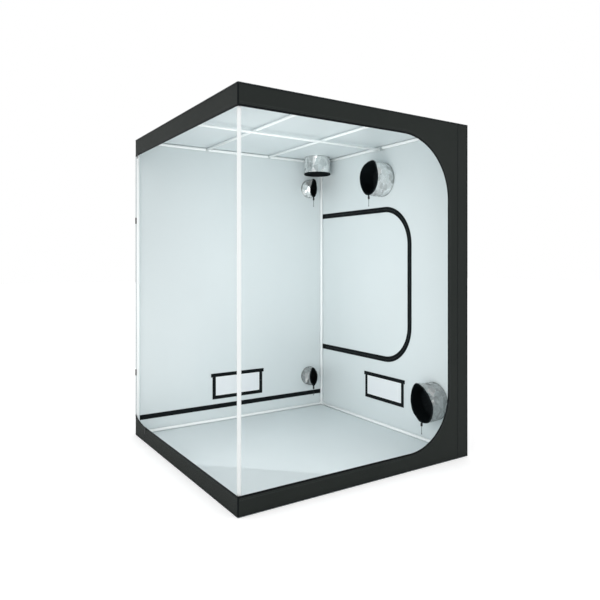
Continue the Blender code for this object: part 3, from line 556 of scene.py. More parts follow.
# %% The small shapes that repeat
STITCH_LENGTH, STITCH_WIDTH, STITCH_PITCH = 0.0034, 0.0009, 0.0046
STITCH_PROFILE = ((0.25, -1), (0.85, -0.7), (1, 0), (0.85, 0.7), (0.25, 1))
TOOTH_LENGTH, TOOTH_WIDTH, TOOTH_HEIGHT, TOOTH_PITCH = 0.0016, 0.0030, 0.0020, 0.0026


def soft_block(size, bevel, segments):
    """A box with its edges taken off."""
    work = bmesh.new()
    bmesh.ops.create_cube(work, size=1)
    bmesh.ops.scale(work, vec=size, verts=work.verts)
    bmesh.ops.bevel(work, geom=work.edges[:], offset=bevel, segments=segments, affect="EDGES")
    mesh = bpy.data.meshes.new("block")
    work.to_mesh(mesh)
    work.free()
    return mesh


half, radius = STITCH_LENGTH / 2, STITCH_WIDTH / 2
pairs = [(radius * share, half * place) for share, place in STITCH_PROFILE]
STITCH = to_mesh(lathe(pairs, (0, 0, 0), (1, 0, 0), sides=6)), STITCH_PITCH
size = TOOTH_LENGTH, TOOTH_WIDTH, TOOTH_HEIGHT
TOOTH = soft_block(size, bevel=TOOTH_LENGTH / 5, segments=1), TOOTH_PITCH
print("faces in a stitch", len(STITCH[0].polygons), "and a tooth", len(TOOTH[0].polygons))

# %% [markdown]
# ## The tube frame
# Posts and rails are 20 mm steel tube with a 1.2 mm wall, cut square and lightly deburred. A
# lathe profile that closes on itself gives each tube its bore and its rounded lips.

# %% Posts and rails
TUBE_WALL, TUBE_LIP, TUBE_SIDES = 0.0012, 0.0006, 32
POSTS = [f"post_{row}_{side}" for row, side in product(("front", "back"), ("left", "right"))]
SIDES = ("front", "back", "left", "right")
RAILS = [f"rail_{level}_{side}" for level, side in product(("bottom", "top"), SIDES)]


def add_tube(node, start, way, radius, length, wall, lip, body="tent"):
    profile = [(radius - lip, 0), (radius, lip), (radius, length - lip), (radius - lip, length)]
    profile += [(radius - wall, length), (radius - wall, 0)]
    shape = lathe(profile, start, way, TUBE_SIDES, looped=True)
    add_piece(f"{node}_tube", [shape], POWDER_COAT, body, angle=50, stands_for=node)


for node in POSTS + RAILS:
    low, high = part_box(node)
    size = high - low
    axis = max(range(3), key=lambda index: size[index])
    start = (low + high) / 2
    start[axis] = low[axis]
    way = [int(index == axis) for index in range(3)]
    TUBE_RADIUS = min(size) / 2
    add_tube(node, start, way, TUBE_RADIUS, size[axis], TUBE_WALL, TUBE_LIP)
print("tubes", len(POSTS + RAILS), "radius", rounded([TUBE_RADIUS]))

# %% [markdown]
# Each corner is one moulded connector: a rounded hub with three pins. The collar that shows has
# a raised rim where the tube stops, and the thinner pin goes on inside the tube. The parts are
# fused with a Boolean, so the result is one clean skin, and mirrored into each corner.

# %% Corner connectors
HUB_SIDE, HUB_ROUND = 0.0230, 0.0030
COLLAR_REACH, PIN_REACH, PIN_RADIUS = 0.0200, 0.0550, 0.0085
RIM_WIDTH, RIM_STEP = 0.0030, 0.0007


def make_connector():
    rim = TUBE_RADIUS + RIM_STEP
    profile = [
        (TUBE_RADIUS, 0),
        (TUBE_RADIUS, COLLAR_REACH - RIM_WIDTH),
        (rim, COLLAR_REACH - RIM_WIDTH + RIM_STEP),
        (rim, COLLAR_REACH - RIM_STEP),
        (TUBE_RADIUS, COLLAR_REACH),
        (PIN_RADIUS, COLLAR_REACH),
        (PIN_RADIUS, PIN_REACH - RIM_STEP),
        (PIN_RADIUS - RIM_STEP, PIN_REACH),
    ]
    body = add_object("body", soft_block([HUB_SIDE] * 3, HUB_ROUND, segments=3))
    pins = []
    for way in ((1, 0, 0), (0, 1, 0), (0, 0, 1)):
        pins.append(add_object("pin", to_mesh(lathe(profile, (0, 0, 0), way, TUBE_SIDES))))
        modifier = body.modifiers.new("union", "BOOLEAN")
        modifier.object = pins[-1]
        modifier.operation = "UNION"
        modifier.solver = "EXACT"
    return settled(body, *pins)


connector = make_connector()
for level, post in product(("bottom", "top"), POSTS):
    node = post.replace("post", f"corner_{level}")
    centre = sum(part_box(post), Vector()) / 2
    centre.z = sum(corner.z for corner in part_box(f"rail_{level}_front")) / 2
    signs = [-copysign(1, centre.x), -copysign(1, centre.y), 1 if level == "bottom" else -1]
    mesh = connector.copy()
    mesh.transform(Matrix.Translation(centre) @ Matrix.Diagonal((*signs, 1)))
    if prod(signs) < 0:
        mesh.flip_normals()
    add_piece(f"{node}_moulding", mesh, NYLON, angle=35, stands_for=node)
print("connector faces", len(connector.polygons))

# %% [markdown]
# ## Ceiling bars
# Three thinner tubes carry the lamp and the filter. A moulded end plugs into each tube and
# snaps over the rail with an open hook, so the bar can slide along. The crossing bar hangs just
# under the other two, so its ends have a short leg. Bar and ends move together.

# %% Bars with their moulded ends
BAR_RADIUS, BAR_WALL, BAR_LIP = 0.0080, 0.0010, 0.0004
BAR_SETBACK = 0.0135
HOOK_WIDTH, HOOK_OUT, HOOK_IN = 0.0200, 0.0120, 0.0103
HOOK_OPEN = (radians(-170), radians(80))
CURVE_STEPS = 28
CAP_RADIUS, CAP_END = 0.0092, 0.0270
LEG_WIDTH = 0.0090


def prism(outline, near, far, put):
    """A flat outline carried from near to far."""
    return skin([[put(u, v, depth) for u, v in outline] for depth in (near, far)], capped=True)


def arc(centre, radius, start, end, steps=CURVE_STEPS):
    """Points along an arc, both ends included."""
    angles = [start + (end - start) * step / steps for step in range(steps + 1)]
    u, v = centre
    return [(u + radius * cos(angle), v + radius * sin(angle)) for angle in angles]


def hook_shapes(put, drop):
    """The hook over the rail, the cap round the tube's end and the leg between them."""
    hook = arc((0, 0), HOOK_OUT, *HOOK_OPEN) + arc((0, 0), HOOK_IN, *HOOK_OPEN)[::-1]
    half, middle = LEG_WIDTH / 2, (HOOK_IN + HOOK_OUT) / 2
    leg = [(middle, -half), (BAR_SETBACK, -half), (BAR_SETBACK, half), (middle, half)]
    if drop:
        foot = -drop - BAR_RADIUS / 2
        leg = [(-half, foot), (BAR_SETBACK, foot), (BAR_SETBACK, -drop + half), (half, -middle)]
        leg += [(-half, -middle)]
    start, way = put(BAR_SETBACK - BAR_LIP, -drop, 0), put(1, 0, 0) - put(0, 0, 0)
    long = CAP_END - BAR_SETBACK
    cap = [(BAR_RADIUS / 2, -BAR_LIP), (CAP_RADIUS - BAR_LIP, 0), (CAP_RADIUS, BAR_LIP)]
    cap += [(CAP_RADIUS, long - BAR_LIP), (CAP_RADIUS - BAR_LIP, long), (BAR_RADIUS / 2, long)]
    return [
        prism(hook, -HOOK_WIDTH / 2, HOOK_WIDTH / 2, put),
        prism(leg, -half, half, put),
        lathe(cap, start, way, TUBE_SIDES),
    ]


rail_height = sum(corner.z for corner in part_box("rail_top_front")) / 2
rail_reach = sum(corner.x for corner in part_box("post_front_right")) / 2
length = 2 * (rail_reach - BAR_SETBACK)
for node in ("ceiling_bar_left", "ceiling_bar_right", "ceiling_cross_bar"):
    middle = sum(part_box(node), Vector()) / 2
    crossing = node == "ceiling_cross_bar"
    drop = 2 * BAR_RADIUS + FIT if crossing else 0
    way = Vector((1, 0, 0)) if crossing else Vector((0, 1, 0))
    start = Vector((middle.x, middle.y, rail_height - drop)) - way * length / 2
    add_tube(node, start, way, BAR_RADIUS, length, BAR_WALL, BAR_LIP, node)
    ends = []
    for end in (-1, 1):
        def at_end(u, v, w):
            reach = end * (rail_reach - u)
            if crossing:
                return Vector((reach, middle.y + w, rail_height + v))
            return Vector((middle.x + w, reach, rail_height + v))
        ends += hook_shapes(at_end, drop)
    # The ends' grey is partly painted shade at the bar ends.
    add_piece(f"{node}_ends", ends, HOOK_PLASTIC_WITH_PAINTED_SHADE, node, angle=35)
print("ceiling bars of", rounded([length]), "with two hooked ends each")

# %% [markdown]
# ## Cloth that fills an outline
# A wall is a flat sheet with holes. Its outline is filled with evenly spaced points joined by a
# constrained Delaunay triangulation, so the mesh can ripple. Cloth is slack only away from its
# seams: the distance to the nearest edge or fixture fades the ripple out. A cloth simulation
# would give much the same here, because a frame stretches every wall.

# %% Fill an outline with points
CELL, CELL_CLEAR, SAME_POINT = 0.026, 0.55, 1e-7
RIPPLE, FINE_RIPPLE = 0.0030, 0.0012
RIPPLE_WIDE, RIPPLE_TALL, RIPPLE_FINE, FINE_SEED = 0.30, 0.80, 0.16, 7
SEAM_HOLD, SLACK_REACH = 0.010, 0.140


def densify(points, closed=False):
    """Adds points along a flat path so that no step is longer than a cell."""
    result = []
    ends = points[1:] + (points[:1] if closed else [])
    for here, there in zip(points, ends):
        pieces = max(1, ceil((Vector(there) - Vector(here)).length / CELL))
        result += [Vector(here).lerp(Vector(there), part / pieces) for part in range(pieces)]
    return result if closed else [*result, Vector(points[-1])]


def inside(points, loops):
    """Which points lie inside an outline and outside its holes, by counting crossings."""
    x, y = points[:, 0], points[:, 1]
    found = np.zeros(len(points), bool)
    for loop in loops:
        ring = np.array([tuple(point) for point in loop])
        for (x0, y0), (x1, y1) in zip(ring, np.roll(ring, -1, axis=0)):
            if y0 != y1:
                crosses = (y0 > y) != (y1 > y)
                found ^= crosses & (x < (x1 - x0) * (y - y0) / (y1 - y0) + x0)
    return found


def searchable(points):
    """A search tree that finds the nearest of some flat points."""
    tree = kdtree.KDTree(len(points))
    for index, point in enumerate(points):
        tree.insert((*point, 0), index)
    tree.balance()
    return tree


def fill(loops, creases=()):
    """Even points and triangles inside flat loops, and each point's distance to an edge."""
    loops = [densify(loop, closed=True) for loop in loops]
    points, edges = [], []
    for line in loops + [densify(crease) for crease in creases]:
        first, count = len(points), len(line)
        points += line
        steps = count if line in loops else count - 1
        edges += [(first + step, first + (step + 1) % count) for step in range(steps)]
    fixed = searchable(points)
    border = searchable([point for loop in loops for point in loop])
    low = np.min([tuple(point) for point in loops[0]], axis=0)
    high = np.max([tuple(point) for point in loops[0]], axis=0)
    for row, v in enumerate(np.arange(low[1] + CELL / 2, high[1], CELL * sqrt(3) / 2)):
        for u in np.arange(low[0] + CELL / 2 * (1 + row % 2), high[0], CELL):
            if fixed.find((u, v, 0))[2] > CELL * CELL_CLEAR:
                points.append(Vector((u, v)))
    made = geometry.delaunay_2d_cdt(points, edges, [], 0, SAME_POINT)
    flat = np.array([tuple(point) for point in made[0]])
    triangles = np.array(made[2])
    kept = triangles[inside(flat[triangles].mean(axis=1), loops)]
    return flat, kept, np.array([border.find((*point, 0))[2] for point in flat])


def smooth(value, low, high):
    share = np.clip((value - low) / (high - low), 0, 1)
    return share * share * (3 - 2 * share)


def ripples(filled, fixtures, seed, lift=0.0):
    """How far the cloth stands out at each point; fixtures are (u, v, half u, half v)."""
    flat, _, near = filled
    for middle_u, middle_v, half_u, half_v in fixtures:
        gap_u = np.maximum(np.abs(flat[:, 0] - middle_u) - half_u, 0)
        gap_v = np.maximum(np.abs(flat[:, 1] - middle_v) - half_v, 0)
        near = np.minimum(near, np.hypot(gap_u, gap_v))
    heights = []
    for u, v in flat:
        broad = noise.noise((u / RIPPLE_WIDE, v / RIPPLE_TALL, seed))
        fine = noise.noise((u / RIPPLE_FINE, v / (2 * RIPPLE_FINE), seed + FINE_SEED))
        heights.append(lift + RIPPLE * broad + FINE_RIPPLE * fine)
    return np.array(heights) * smooth(near, SEAM_HOLD, SLACK_REACH)


def cloth(filled, put, front, back, heights):
    """A thin closed sheet: both faces and the rim between them."""
    flat, triangles, _ = filled
    count = len(flat)
    points = []
    for depth in (front, back):
        points += [put(u, v, depth + rise) for (u, v), rise in zip(flat, heights)]
    faces = [tuple(triangle) for triangle in triangles]
    faces += [tuple(index + count for index in reversed(triangle)) for triangle in triangles]
    sides = {}
    for a, b, c in triangles:
        for edge in ((a, b), (b, c), (c, a)):
            key = tuple(sorted(edge))
            sides[key] = None if key in sides else edge
    faces += [(b, a, a + count, b + count) for a, b in filter(None, sides.values())]
    return points, faces


print("a rippled wall cell is", CELL, "wide")

# %% [markdown]
# Each wall is two layers that are bonded on the real tent: film inside and canvas outside. They
# are two pieces here, so that each takes its own finish. Both follow the same ripple. The size
# the sheet was cut to and its area are printed.

# %% Make a wall from its layers
LAYER_GAP = 0.00005
FILM_SHARE = 0.45


def make_wall(name, node, loops, put, fixtures, held_by, seed, body="tent", creases=(), lift=0.0):
    """The film and the canvas of one wall; prints the size it was cut to and its area."""
    filled = fill(loops, creases)
    flat, triangles, _ = filled
    heights = ripples(filled, fixtures, seed, lift)
    size = [float(value) for value in flat.max(axis=0) - flat.min(axis=0)]
    first = flat[triangles[:, 1]] - flat[triangles[:, 0]]
    second = flat[triangles[:, 2]] - flat[triangles[:, 0]]
    area = float(np.abs(first[:, 0] * second[:, 1] - first[:, 1] * second[:, 0]).sum() / 2)
    split = CLOTH * FILM_SHARE
    layers = ((f"{name}_film", 0, split - LAYER_GAP, LINING, node),
              (f"{name}_canvas", split, CLOTH, CANVAS, None))
    for title, near, far, finish, stands_for in layers:
        shape = cloth(filled, put, near, far, heights)
        piece = add_piece(title, [shape], finish, body, angle=50, stands_for=stands_for)
        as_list(held_by)
    print(name, "cut and area", rounded((*size, area)))


print("film", round(CLOTH * FILM_SHARE, 5), "canvas", round(CLOTH * (1 - FILM_SHARE), 5))

# %% [markdown]
# ## Where the openings are
# The vents, the ports and the access door are cut out of the walls. Their places come from the
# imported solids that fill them, and only the corner radii are written here. Each port also has
# how far its drawn mouth is pinched or flared, and how long its gathered pouch is outside.

# %% Read the fixtures
PORTS = {}
SLEEVE_WALL, HOLE_SIDES = 0.0012, 48
VENT_TAPE, VENT_EAR, VENT_FLANGE, VENT_MARGIN = 0.026, 0.012, 0.012, 0.020
ACCESS_RADIUS, ACCESS_TAPE = 0.250, 0.019

for name, inward, up, axes, pinch, flare, pouch in (
    # Name, way in, way up, axes of its wall, pinch, flare, pouch in metres.
    ("back_upper_port", (0, -1, 0), (0, 0, 1), (0, 2), 0.55, 0.0, 0.040),
    ("back_lower_port", (0, -1, 0), (0, 0, 1), (0, 2), 0.50, 0.0, 0.040),
    ("right_upper_port", (-1, 0, 0), (0, 0, 1), (1, 2), 0.20, 0.0, 0.040),
    ("right_lower_port", (-1, 0, 0), (0, 0, 1), (1, 2), 0.20, 0.0, 0.040),
    ("roof_port", (0, 0, -1), (0, 1, 0), (0, 1), 0.0, 0.08, 0.030),
):
    low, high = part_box(f"{name}_sleeve")
    inward, up = Vector(inward), Vector(up)
    face = ROOF_INSIDE if inward.z else INSIDE
    centre = [face if step else value for step, value in zip(inward, (low + high) / 2)]
    port = SimpleNamespace(pinch=pinch, flare=flare, pouch=pouch, centre=Vector(centre))
    port.radius = abs((high - low).dot(up)) / 2
    port.reach = abs((high - low).dot(inward)) + FIT
    port.frame = Matrix((up.cross(inward), up, inward)).transposed()
    port.flat = [centre[axis] for axis in axes]
    PORTS[name] = port
    print(name, "radius and reach", rounded((port.radius, port.reach)))


def port_hole(name):
    """The round hole behind a port, as flat points on its wall."""
    u, v = PORTS[name].flat
    ring = circle(PORTS[name].radius - SLEEVE_WALL, HOLE_SIDES)
    return [(u + across, v + up) for across, up in ring]


def port_fixture(name):
    return (*PORTS[name].flat, PORTS[name].radius, PORTS[name].radius)


def rectangle(low_u, high_u, low_v, high_v):
    return [(low_u, low_v), (high_u, low_v), (high_u, high_v), (low_u, high_v)]


def read_vent(node, first):
    """A vent's middle and its flap's half sizes, read from the flap's solid."""
    low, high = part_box(node)
    half_u = (high[first] - low[first]) / 2 - VENT_EAR
    return (low[first] + high[first]) / 2, (low.z + high.z) / 2, half_u, (high.z - low.z) / 2


def vent_window(vent, grow=0.0):
    u, v, half_u, half_v = vent
    wide, tall = half_u - VENT_TAPE + grow, half_v - VENT_TAPE + grow
    return rectangle(u - wide, u + wide, v - tall, v + tall)


def vent_fixture(vent):
    u, v, half_u, half_v = vent
    return (u, v, half_u + VENT_MARGIN, half_v + VENT_MARGIN)


BACK_VENT, RIGHT_VENT = read_vent("back_vent_flap", 0), read_vent("right_vent_flap", 1)
access_low, access_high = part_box("access_door")
HINGE = access_high.y + FIT
ACCESS_LOW, ACCESS_TOP = access_low.z - FIT, access_high.z + FIT
ACCESS_FRONT = access_low.y - FIT


def access_line(grow, back):
    """The access door's edge: straight at the back, round at the front."""
    quarter = pi / 2
    radius = ACCESS_RADIUS + grow
    middle = ACCESS_FRONT + ACCESS_RADIUS
    points = [(back, ACCESS_TOP + grow)]
    points += arc((middle, ACCESS_TOP - ACCESS_RADIUS), radius, quarter, 2 * quarter)
    points += arc((middle, ACCESS_LOW + ACCESS_RADIUS), radius, 2 * quarter, 3 * quarter)
    return [*points, (back, ACCESS_LOW - grow)]


# %% [markdown]
# ## Back wall, right wall and access door
# The back wall has a vent and two ports, and is held flat where the strip and the rolled door
# lie on it. The right wall has a vent, two ports and the access door, which is a cloth panel of
# its own so that it can fold out.

# %% The back wall, the right wall and the access door
strip_low, strip_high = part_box("back_wall_strip")
strip_fixture = (0, (strip_low.z + strip_high.z) / 2, OUTSIDE, strip_high.z - strip_low.z)
roll_low, roll_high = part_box("main_door_roll")
roll_half = (roll_high.x - roll_low.x) / 2
roll_fixture = (roll_low.x + roll_half, WALL_TOP / 2, roll_half, WALL_TOP)
back_ports, right_ports = (
    [name for name in PORTS if name.startswith(side)] for side in ("back", "right")
)
back_loops = [rectangle(-OUTSIDE, OUTSIDE, WALL_LOW, WALL_TOP), vent_window(BACK_VENT)]
back_loops += [port_hole(name) for name in back_ports]
back_fixtures = [vent_fixture(BACK_VENT), strip_fixture, roll_fixture]
back_fixtures += [port_fixture(name) for name in back_ports]
back_frame = ["post_back_left", "post_back_right", "rail_top_back"]
make_wall("back_wall", "back_wall", back_loops, on_back, back_fixtures, back_frame, seed=1.3)

side_edge = INSIDE - FIT
right_loops = [rectangle(-side_edge, side_edge, WALL_LOW, WALL_TOP), access_line(0, HINGE)]
right_loops += [vent_window(RIGHT_VENT), *(port_hole(name) for name in right_ports)]
access_middle = (HINGE + ACCESS_FRONT) / 2, (ACCESS_LOW + ACCESS_TOP) / 2
access_half = (HINGE - ACCESS_FRONT) / 2 + ACCESS_TAPE, (ACCESS_TOP - ACCESS_LOW) / 2 + ACCESS_TAPE
right_fixtures = [vent_fixture(RIGHT_VENT), (*access_middle, *access_half)]
right_fixtures += [port_fixture(name) for name in right_ports]
right_frame = ["post_front_right", "post_back_right", "rail_top_right"]
make_wall("right_wall", "right_wall", right_loops, on_right, right_fixtures, right_frame, seed=5.1)

door_loops = [access_line(-FIT, HINGE - FIT)]
door, seam = "access_door", ["right_wall_canvas"]
make_wall(door, door, door_loops, on_right, [], seam, seed=9.7, body=door)

# %% [markdown]
# ## Roof and floor
# The roof has one port, and its slack cloth lies a little higher than its seams. The floor is a
# tray of thicker film on canvas, which lies flat on the ground without a ripple.

# %% Roof and floor
ROOF_LIFT, TAIL_ROOM = 0.0042, 0.100
FLOOR_SPLIT = 0.0012
footprint = rectangle(-OUTSIDE, OUTSIDE, -OUTSIDE, OUTSIDE)
port_u, port_v, port_half, _ = port_fixture("roof_port")
roof_fixtures = [(port_u, port_v - TAIL_ROOM / 2, port_half, port_half + TAIL_ROOM / 2)]
roof_loops = [footprint, port_hole("roof_port")]
top_frame = [f"rail_top_{side}" for side in SIDES]
make_wall(
    "roof", "roof_panel", roof_loops, on_roof, roof_fixtures, top_frame, seed=2.9, lift=ROOF_LIFT
)

filled = fill([footprint])
still = np.zeros(len(filled[0]))
film = cloth(filled, on_floor, 0, FLOOR_SPLIT, still)
canvas = cloth(filled, on_floor, FLOOR_SPLIT + LAYER_GAP, FLOOR_TOP, still)
film_piece = add_piece("floor_film", [film], FLOOR_FILM, angle=50, stands_for="floor_panel")
for piece in (film_piece, add_piece("floor_canvas", [canvas], CANVAS, angle=50)):
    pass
print("floor side", rounded([SIDE]))

# %% [markdown]
# ## The cloth round the doorway
# The front margin and the two bands are one cloth that turns the near corner, so they are cut
# flat, unrolled along s, and folded by the mapping. Creases at the fold keep the corner crisp.
# The doorway's edge is straight along the bands, round at the margin, and rises a little where
# the lower band ends at the back.

# %% The doorway's edge and its three cuts
zip_low, zip_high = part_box("main_zip")
ZIP_TAPE = 0.010
DOOR_TOP, DOOR_LOW = zip_high.z - ZIP_TAPE + FIT, zip_low.z + ZIP_TAPE - FIT
DOOR_RIGHT = zip_high.x - ZIP_TAPE + FIT + OUTSIDE
DOOR_TOP_RADIUS, DOOR_LOW_RADIUS = 0.350, 0.300
BAND_RISE, BAND_RISE_LENGTH = 0.038, 0.200
MARGIN_SEAM = 0.680 + OUTSIDE
FOLD_COLUMNS = [FOLD_RADIUS * share for share in (-1, -0.5, 0, 0.5, 1)]
S_BACK, S_RIGHT = -(OUTSIDE + INSIDE - FIT), SIDE


def doorway_edge(grow):
    """The doorway's edge from the back corner along the top, down the front and back below."""
    quarter = pi / 2
    top_centre = (DOOR_RIGHT - DOOR_TOP_RADIUS, DOOR_TOP - DOOR_TOP_RADIUS)
    low_centre = (DOOR_RIGHT - DOOR_LOW_RADIUS, DOOR_LOW + DOOR_LOW_RADIUS)
    points = [(s, DOOR_TOP + grow) for s in (S_BACK, *FOLD_COLUMNS)]
    points += arc(top_centre, DOOR_TOP_RADIUS + grow, quarter, 0)
    points += arc(low_centre, DOOR_LOW_RADIUS + grow, 0, -quarter)
    points += [(s, DOOR_LOW - grow) for s in reversed(FOLD_COLUMNS)]
    start = S_BACK + BAND_RISE_LENGTH
    for share in shares(CURVE_STEPS):
        points.append((start + (S_BACK - start) * share, DOOR_LOW - grow + BAND_RISE * share**2))
    return points


def fold_lines(low, high):
    return [[(s, low), (s, high)] for s in FOLD_COLUMNS]


line = doorway_edge(ZIP_TAPE)
facing, facing_low = DOOR_RIGHT - DOOR_TOP_RADIUS, DOOR_RIGHT - DOOR_LOW_RADIUS
over = [(s, v) for s, v in line if s <= facing + FIT and v > OUTSIDE]
under = [(s, v) for s, v in line if s <= facing_low + FIT and v < OUTSIDE]
beside = [point for point in line if point not in over[:-1] and point not in under[1:]]
top_columns = [(s, WALL_TOP) for s in (facing, *reversed(FOLD_COLUMNS), S_BACK)]
low_columns = [(s, WALL_LOW) for s in (S_BACK, *FOLD_COLUMNS, facing_low)]
turn = [(facing_low, WALL_LOW), (S_RIGHT, WALL_LOW), (S_RIGHT, WALL_TOP), (facing, WALL_TOP)]
above, below = fold_lines(DOOR_TOP + ZIP_TAPE, WALL_TOP), fold_lines(WALL_LOW, DOOR_LOW - ZIP_TAPE)
cuts = {
    "upper_band": (over + top_columns, ["rail_top_front", "rail_top_left"], above),
    "lower_band": (under + low_columns, ["rail_bottom_front", "rail_bottom_left"], below),
    "front_margin": (beside + turn, ["rail_top_front", "post_front_right"], []),
}
folds = [(s, WALL_TOP / 2, FOLD_RADIUS, WALL_TOP) for s in (0, MARGIN_SEAM)]
for name, (outline, held_by, creases) in cuts.items():
    make_wall(
        name, "door_surround", [outline], on_doorway, folds, held_by, seed=4.4, creases=creases
    )

# %% [markdown]
# ## The doorway's zip
# The open zip leaves one half sewn round the doorway: a black tape with a row of teeth on its
# free edge, held by two rows of stitches. A tape is a flat band laid along a path on a wall: at
# each point of the path it steps sideways by two offsets and through the wall by two depths.

# %% Zip tape, teeth and stitches round the doorway
TAPE_PROUD = 0.0004
STITCH_INSET = 0.0022
MITRE_LIMIT = 0.2


def sideways(path):
    """The mitred sideways step at each point of a flat path, to the left of travel."""
    steps = []
    for index, point in enumerate(path):
        here, after = Vector(point), Vector(path[min(index + 1, len(path) - 1)])
        into, onward = here - Vector(path[max(index - 1, 0)]), after - here
        into = (into if into.length else onward).normalized()
        onward = (onward if onward.length else into).normalized()
        normal = Vector((-into.y - onward.y, into.x + onward.x)).normalized()
        steps.append(normal / max(normal.dot(Vector((-into.y, into.x))), MITRE_LIMIT))
    return steps


def shifted(path, aside):
    """A flat path moved sideways, to the left of travel."""
    return [Vector(point) + step * aside for point, step in zip(path, sideways(path))]


def band(path, near, far, put, low, high):
    """A tape's points and faces, from offset near to far and from depth low to high."""
    rows = []
    for start, end in zip(shifted(path, near), shifted(path, far)):
        rows.append([put(*start, low), put(*end, low), put(*end, high), put(*start, high)])
    return skin(rows, capped=True)


def rows_beside(path, offsets, put, depth, side=1):
    """The traces of rows that run beside a path."""
    return [trace(shifted(path, offset), put, depth, side) for offset in offsets]


path = densify(doorway_edge(0))
tape = band(path, 0, ZIP_TAPE - FIT, on_doorway, -TAPE_PROUD, CLOTH + TAPE_PROUD)
add_piece("main_zip_tape", [tape], TAPE, stands_for="main_zip")
repeat_shape("main_zip_teeth", [trace(path, on_doorway, CLOTH / 2)], TOOTH, COIL)
lines = [densify(doorway_edge(grow)) for grow in (ZIP_TAPE + STITCH_INSET, 2 * ZIP_TAPE)]
rows = [trace(line, on_doorway, CLOTH) for line in lines]
repeat_shape("main_zip_stitches", rows, STITCH, THREAD)

# %% [markdown]
# ## Seams
# The panels are joined by lapped seams, bound with a narrow tape. One runs down the front
# margin, and the others follow the tent's edges. A binding stands 0.6 mm proud, and a row of
# stitches runs along each of its sides.

# %% Bindings along the seams
SEAM_WIDTH, SEAM_PROUD, EDGE_BINDING = 0.006, 0.0006, 0.008
SEAM_GAP = SEAM_PROUD / 8
SEAM_DEPTHS = CLOTH + SEAM_GAP, CLOTH + SEAM_PROUD
inset = EDGE_BINDING / 2


def edges(start, end):
    """The seam lines along a wall's top and foot."""
    return [[(start, v), (end, v)] for v in (WALL_TOP - inset, WALL_LOW + inset)]


def upright(u):
    return [(u, WALL_LOW), (u, WALL_TOP)]


corner = OUTSIDE - inset
seam_walls = {
    "left": (on_doorway, *edges(S_BACK, -FOLD_RADIUS)),
    "front": (
        on_doorway, *edges(FOLD_RADIUS, S_RIGHT), upright(S_RIGHT - inset), upright(MARGIN_SEAM)
    ),
    "right": (on_right, upright(-corner), upright(corner), *edges(-OUTSIDE, OUTSIDE)),
    "back": (on_back, upright(corner), *edges(-OUTSIDE, OUTSIDE)),
}
seam_shapes = []
for wall, (put, *lines) in seam_walls.items():
    rows = []
    for line in lines:
        path = densify(line)
        half = (SEAM_WIDTH if line[0][0] == MARGIN_SEAM else EDGE_BINDING) / 2
        seam_shapes.append(band(path, -half, half, put, *SEAM_DEPTHS))
        rows += rows_beside(path, (STITCH_INSET - half, half - STITCH_INSET), put, SEAM_DEPTHS[1])
    repeat_shape(f"seam_stitches_{wall}", rows, STITCH, THREAD)
for low, high in ((WALL_LOW, DOOR_LOW - ZIP_TAPE), (DOOR_TOP + ZIP_TAPE, WALL_TOP)):
    rows = []
    for _, v in densify([(0, low), (0, high)]):
        outer = [on_doorway(s, v, SEAM_DEPTHS[1]) for s in FOLD_COLUMNS]
        rows.append(outer + [on_doorway(s, v, SEAM_DEPTHS[0]) for s in reversed(FOLD_COLUMNS)])
    seam_shapes.append(skin(rows, capped=True))
add_piece("seam_bindings", seam_shapes, TAPE, angle=40)
print("seam bindings", len(seam_shapes))

# %% [markdown]
# ## Access door's zip
# The zip line runs from the back post along the top of the access door, round its front and
# back along its foot. Its tape lies on the inside face of the wall. The door carries the other
# half of the tape and its own teeth on the outside, so both fold out with it.

# %% Zip tape and teeth round the access door
fold = HINGE + FIT
line, own = densify(access_line(0, fold)), densify(access_line(-FIT, HINGE - FIT))
near, far = -FIT - CLOTH, -FIT
shapes = [band(line, 0, -ACCESS_TAPE, on_right, near, far)]
for level in (ACCESS_TOP, ACCESS_LOW):
    outline = rectangle(fold, INSIDE - FIT, level - ACCESS_TAPE, level + ACCESS_TAPE)
    shapes.append(prism(outline, near, far, on_right))
add_piece("access_zip_tape", shapes, TAPE, stands_for="access_zip")
half_tape = band(own, 0, ACCESS_TAPE, on_right, near, far)
add_piece("access_door_tape", [half_tape], TAPE, "access_door")
repeat_shape("access_zip_teeth", [trace(line, on_right, near)], TOOTH, COIL)
outer = rows_beside(own, [TOOTH_WIDTH / 2], on_right, CLOTH)
repeat_shape("access_door_teeth", outer, TOOTH, COIL, "access_door")
rows = rows_beside(line, (-STITCH_INSET, STITCH_INSET - ACCESS_TAPE), on_right, near, side=-1)
repeat_shape("access_zip_stitches", rows, STITCH, BLACK_THREAD)

# %% [markdown]
# ## Vents
# A vent is a window with a black screen sewn into it. Inside hangs a flap: a white panel with a
# wide black border and a bright seam line, held along its top by a strip with two ears. The
# screen is made of single threads, because a see-through grid shows better than a texture.

# %% Screens, bindings and flaps
SCREEN_PITCH, SCREEN_THREAD = 0.0030, 0.0005
BRIGHT_LINE = 0.0030
FLAP_SHARE, FLAP_RIPPLE, FLAP_SEED = 0.8, -0.5, 3.3


def ring_prism(outer, inner, near, far, put):
    """A flat frame between two outlines of as many points."""
    rows = [[put(*a, near), put(*b, near), put(*b, far), put(*a, far)] for a, b in zip(outer, inner)]
    return skin(rows, looped=True)


def thread_starts(low, high):
    """Where each of a screen's even threads begins."""
    count = int((high - low) / SCREEN_PITCH)
    return [low + SCREEN_PITCH * (index + 1) - SCREEN_THREAD / 2 for index in range(count)]


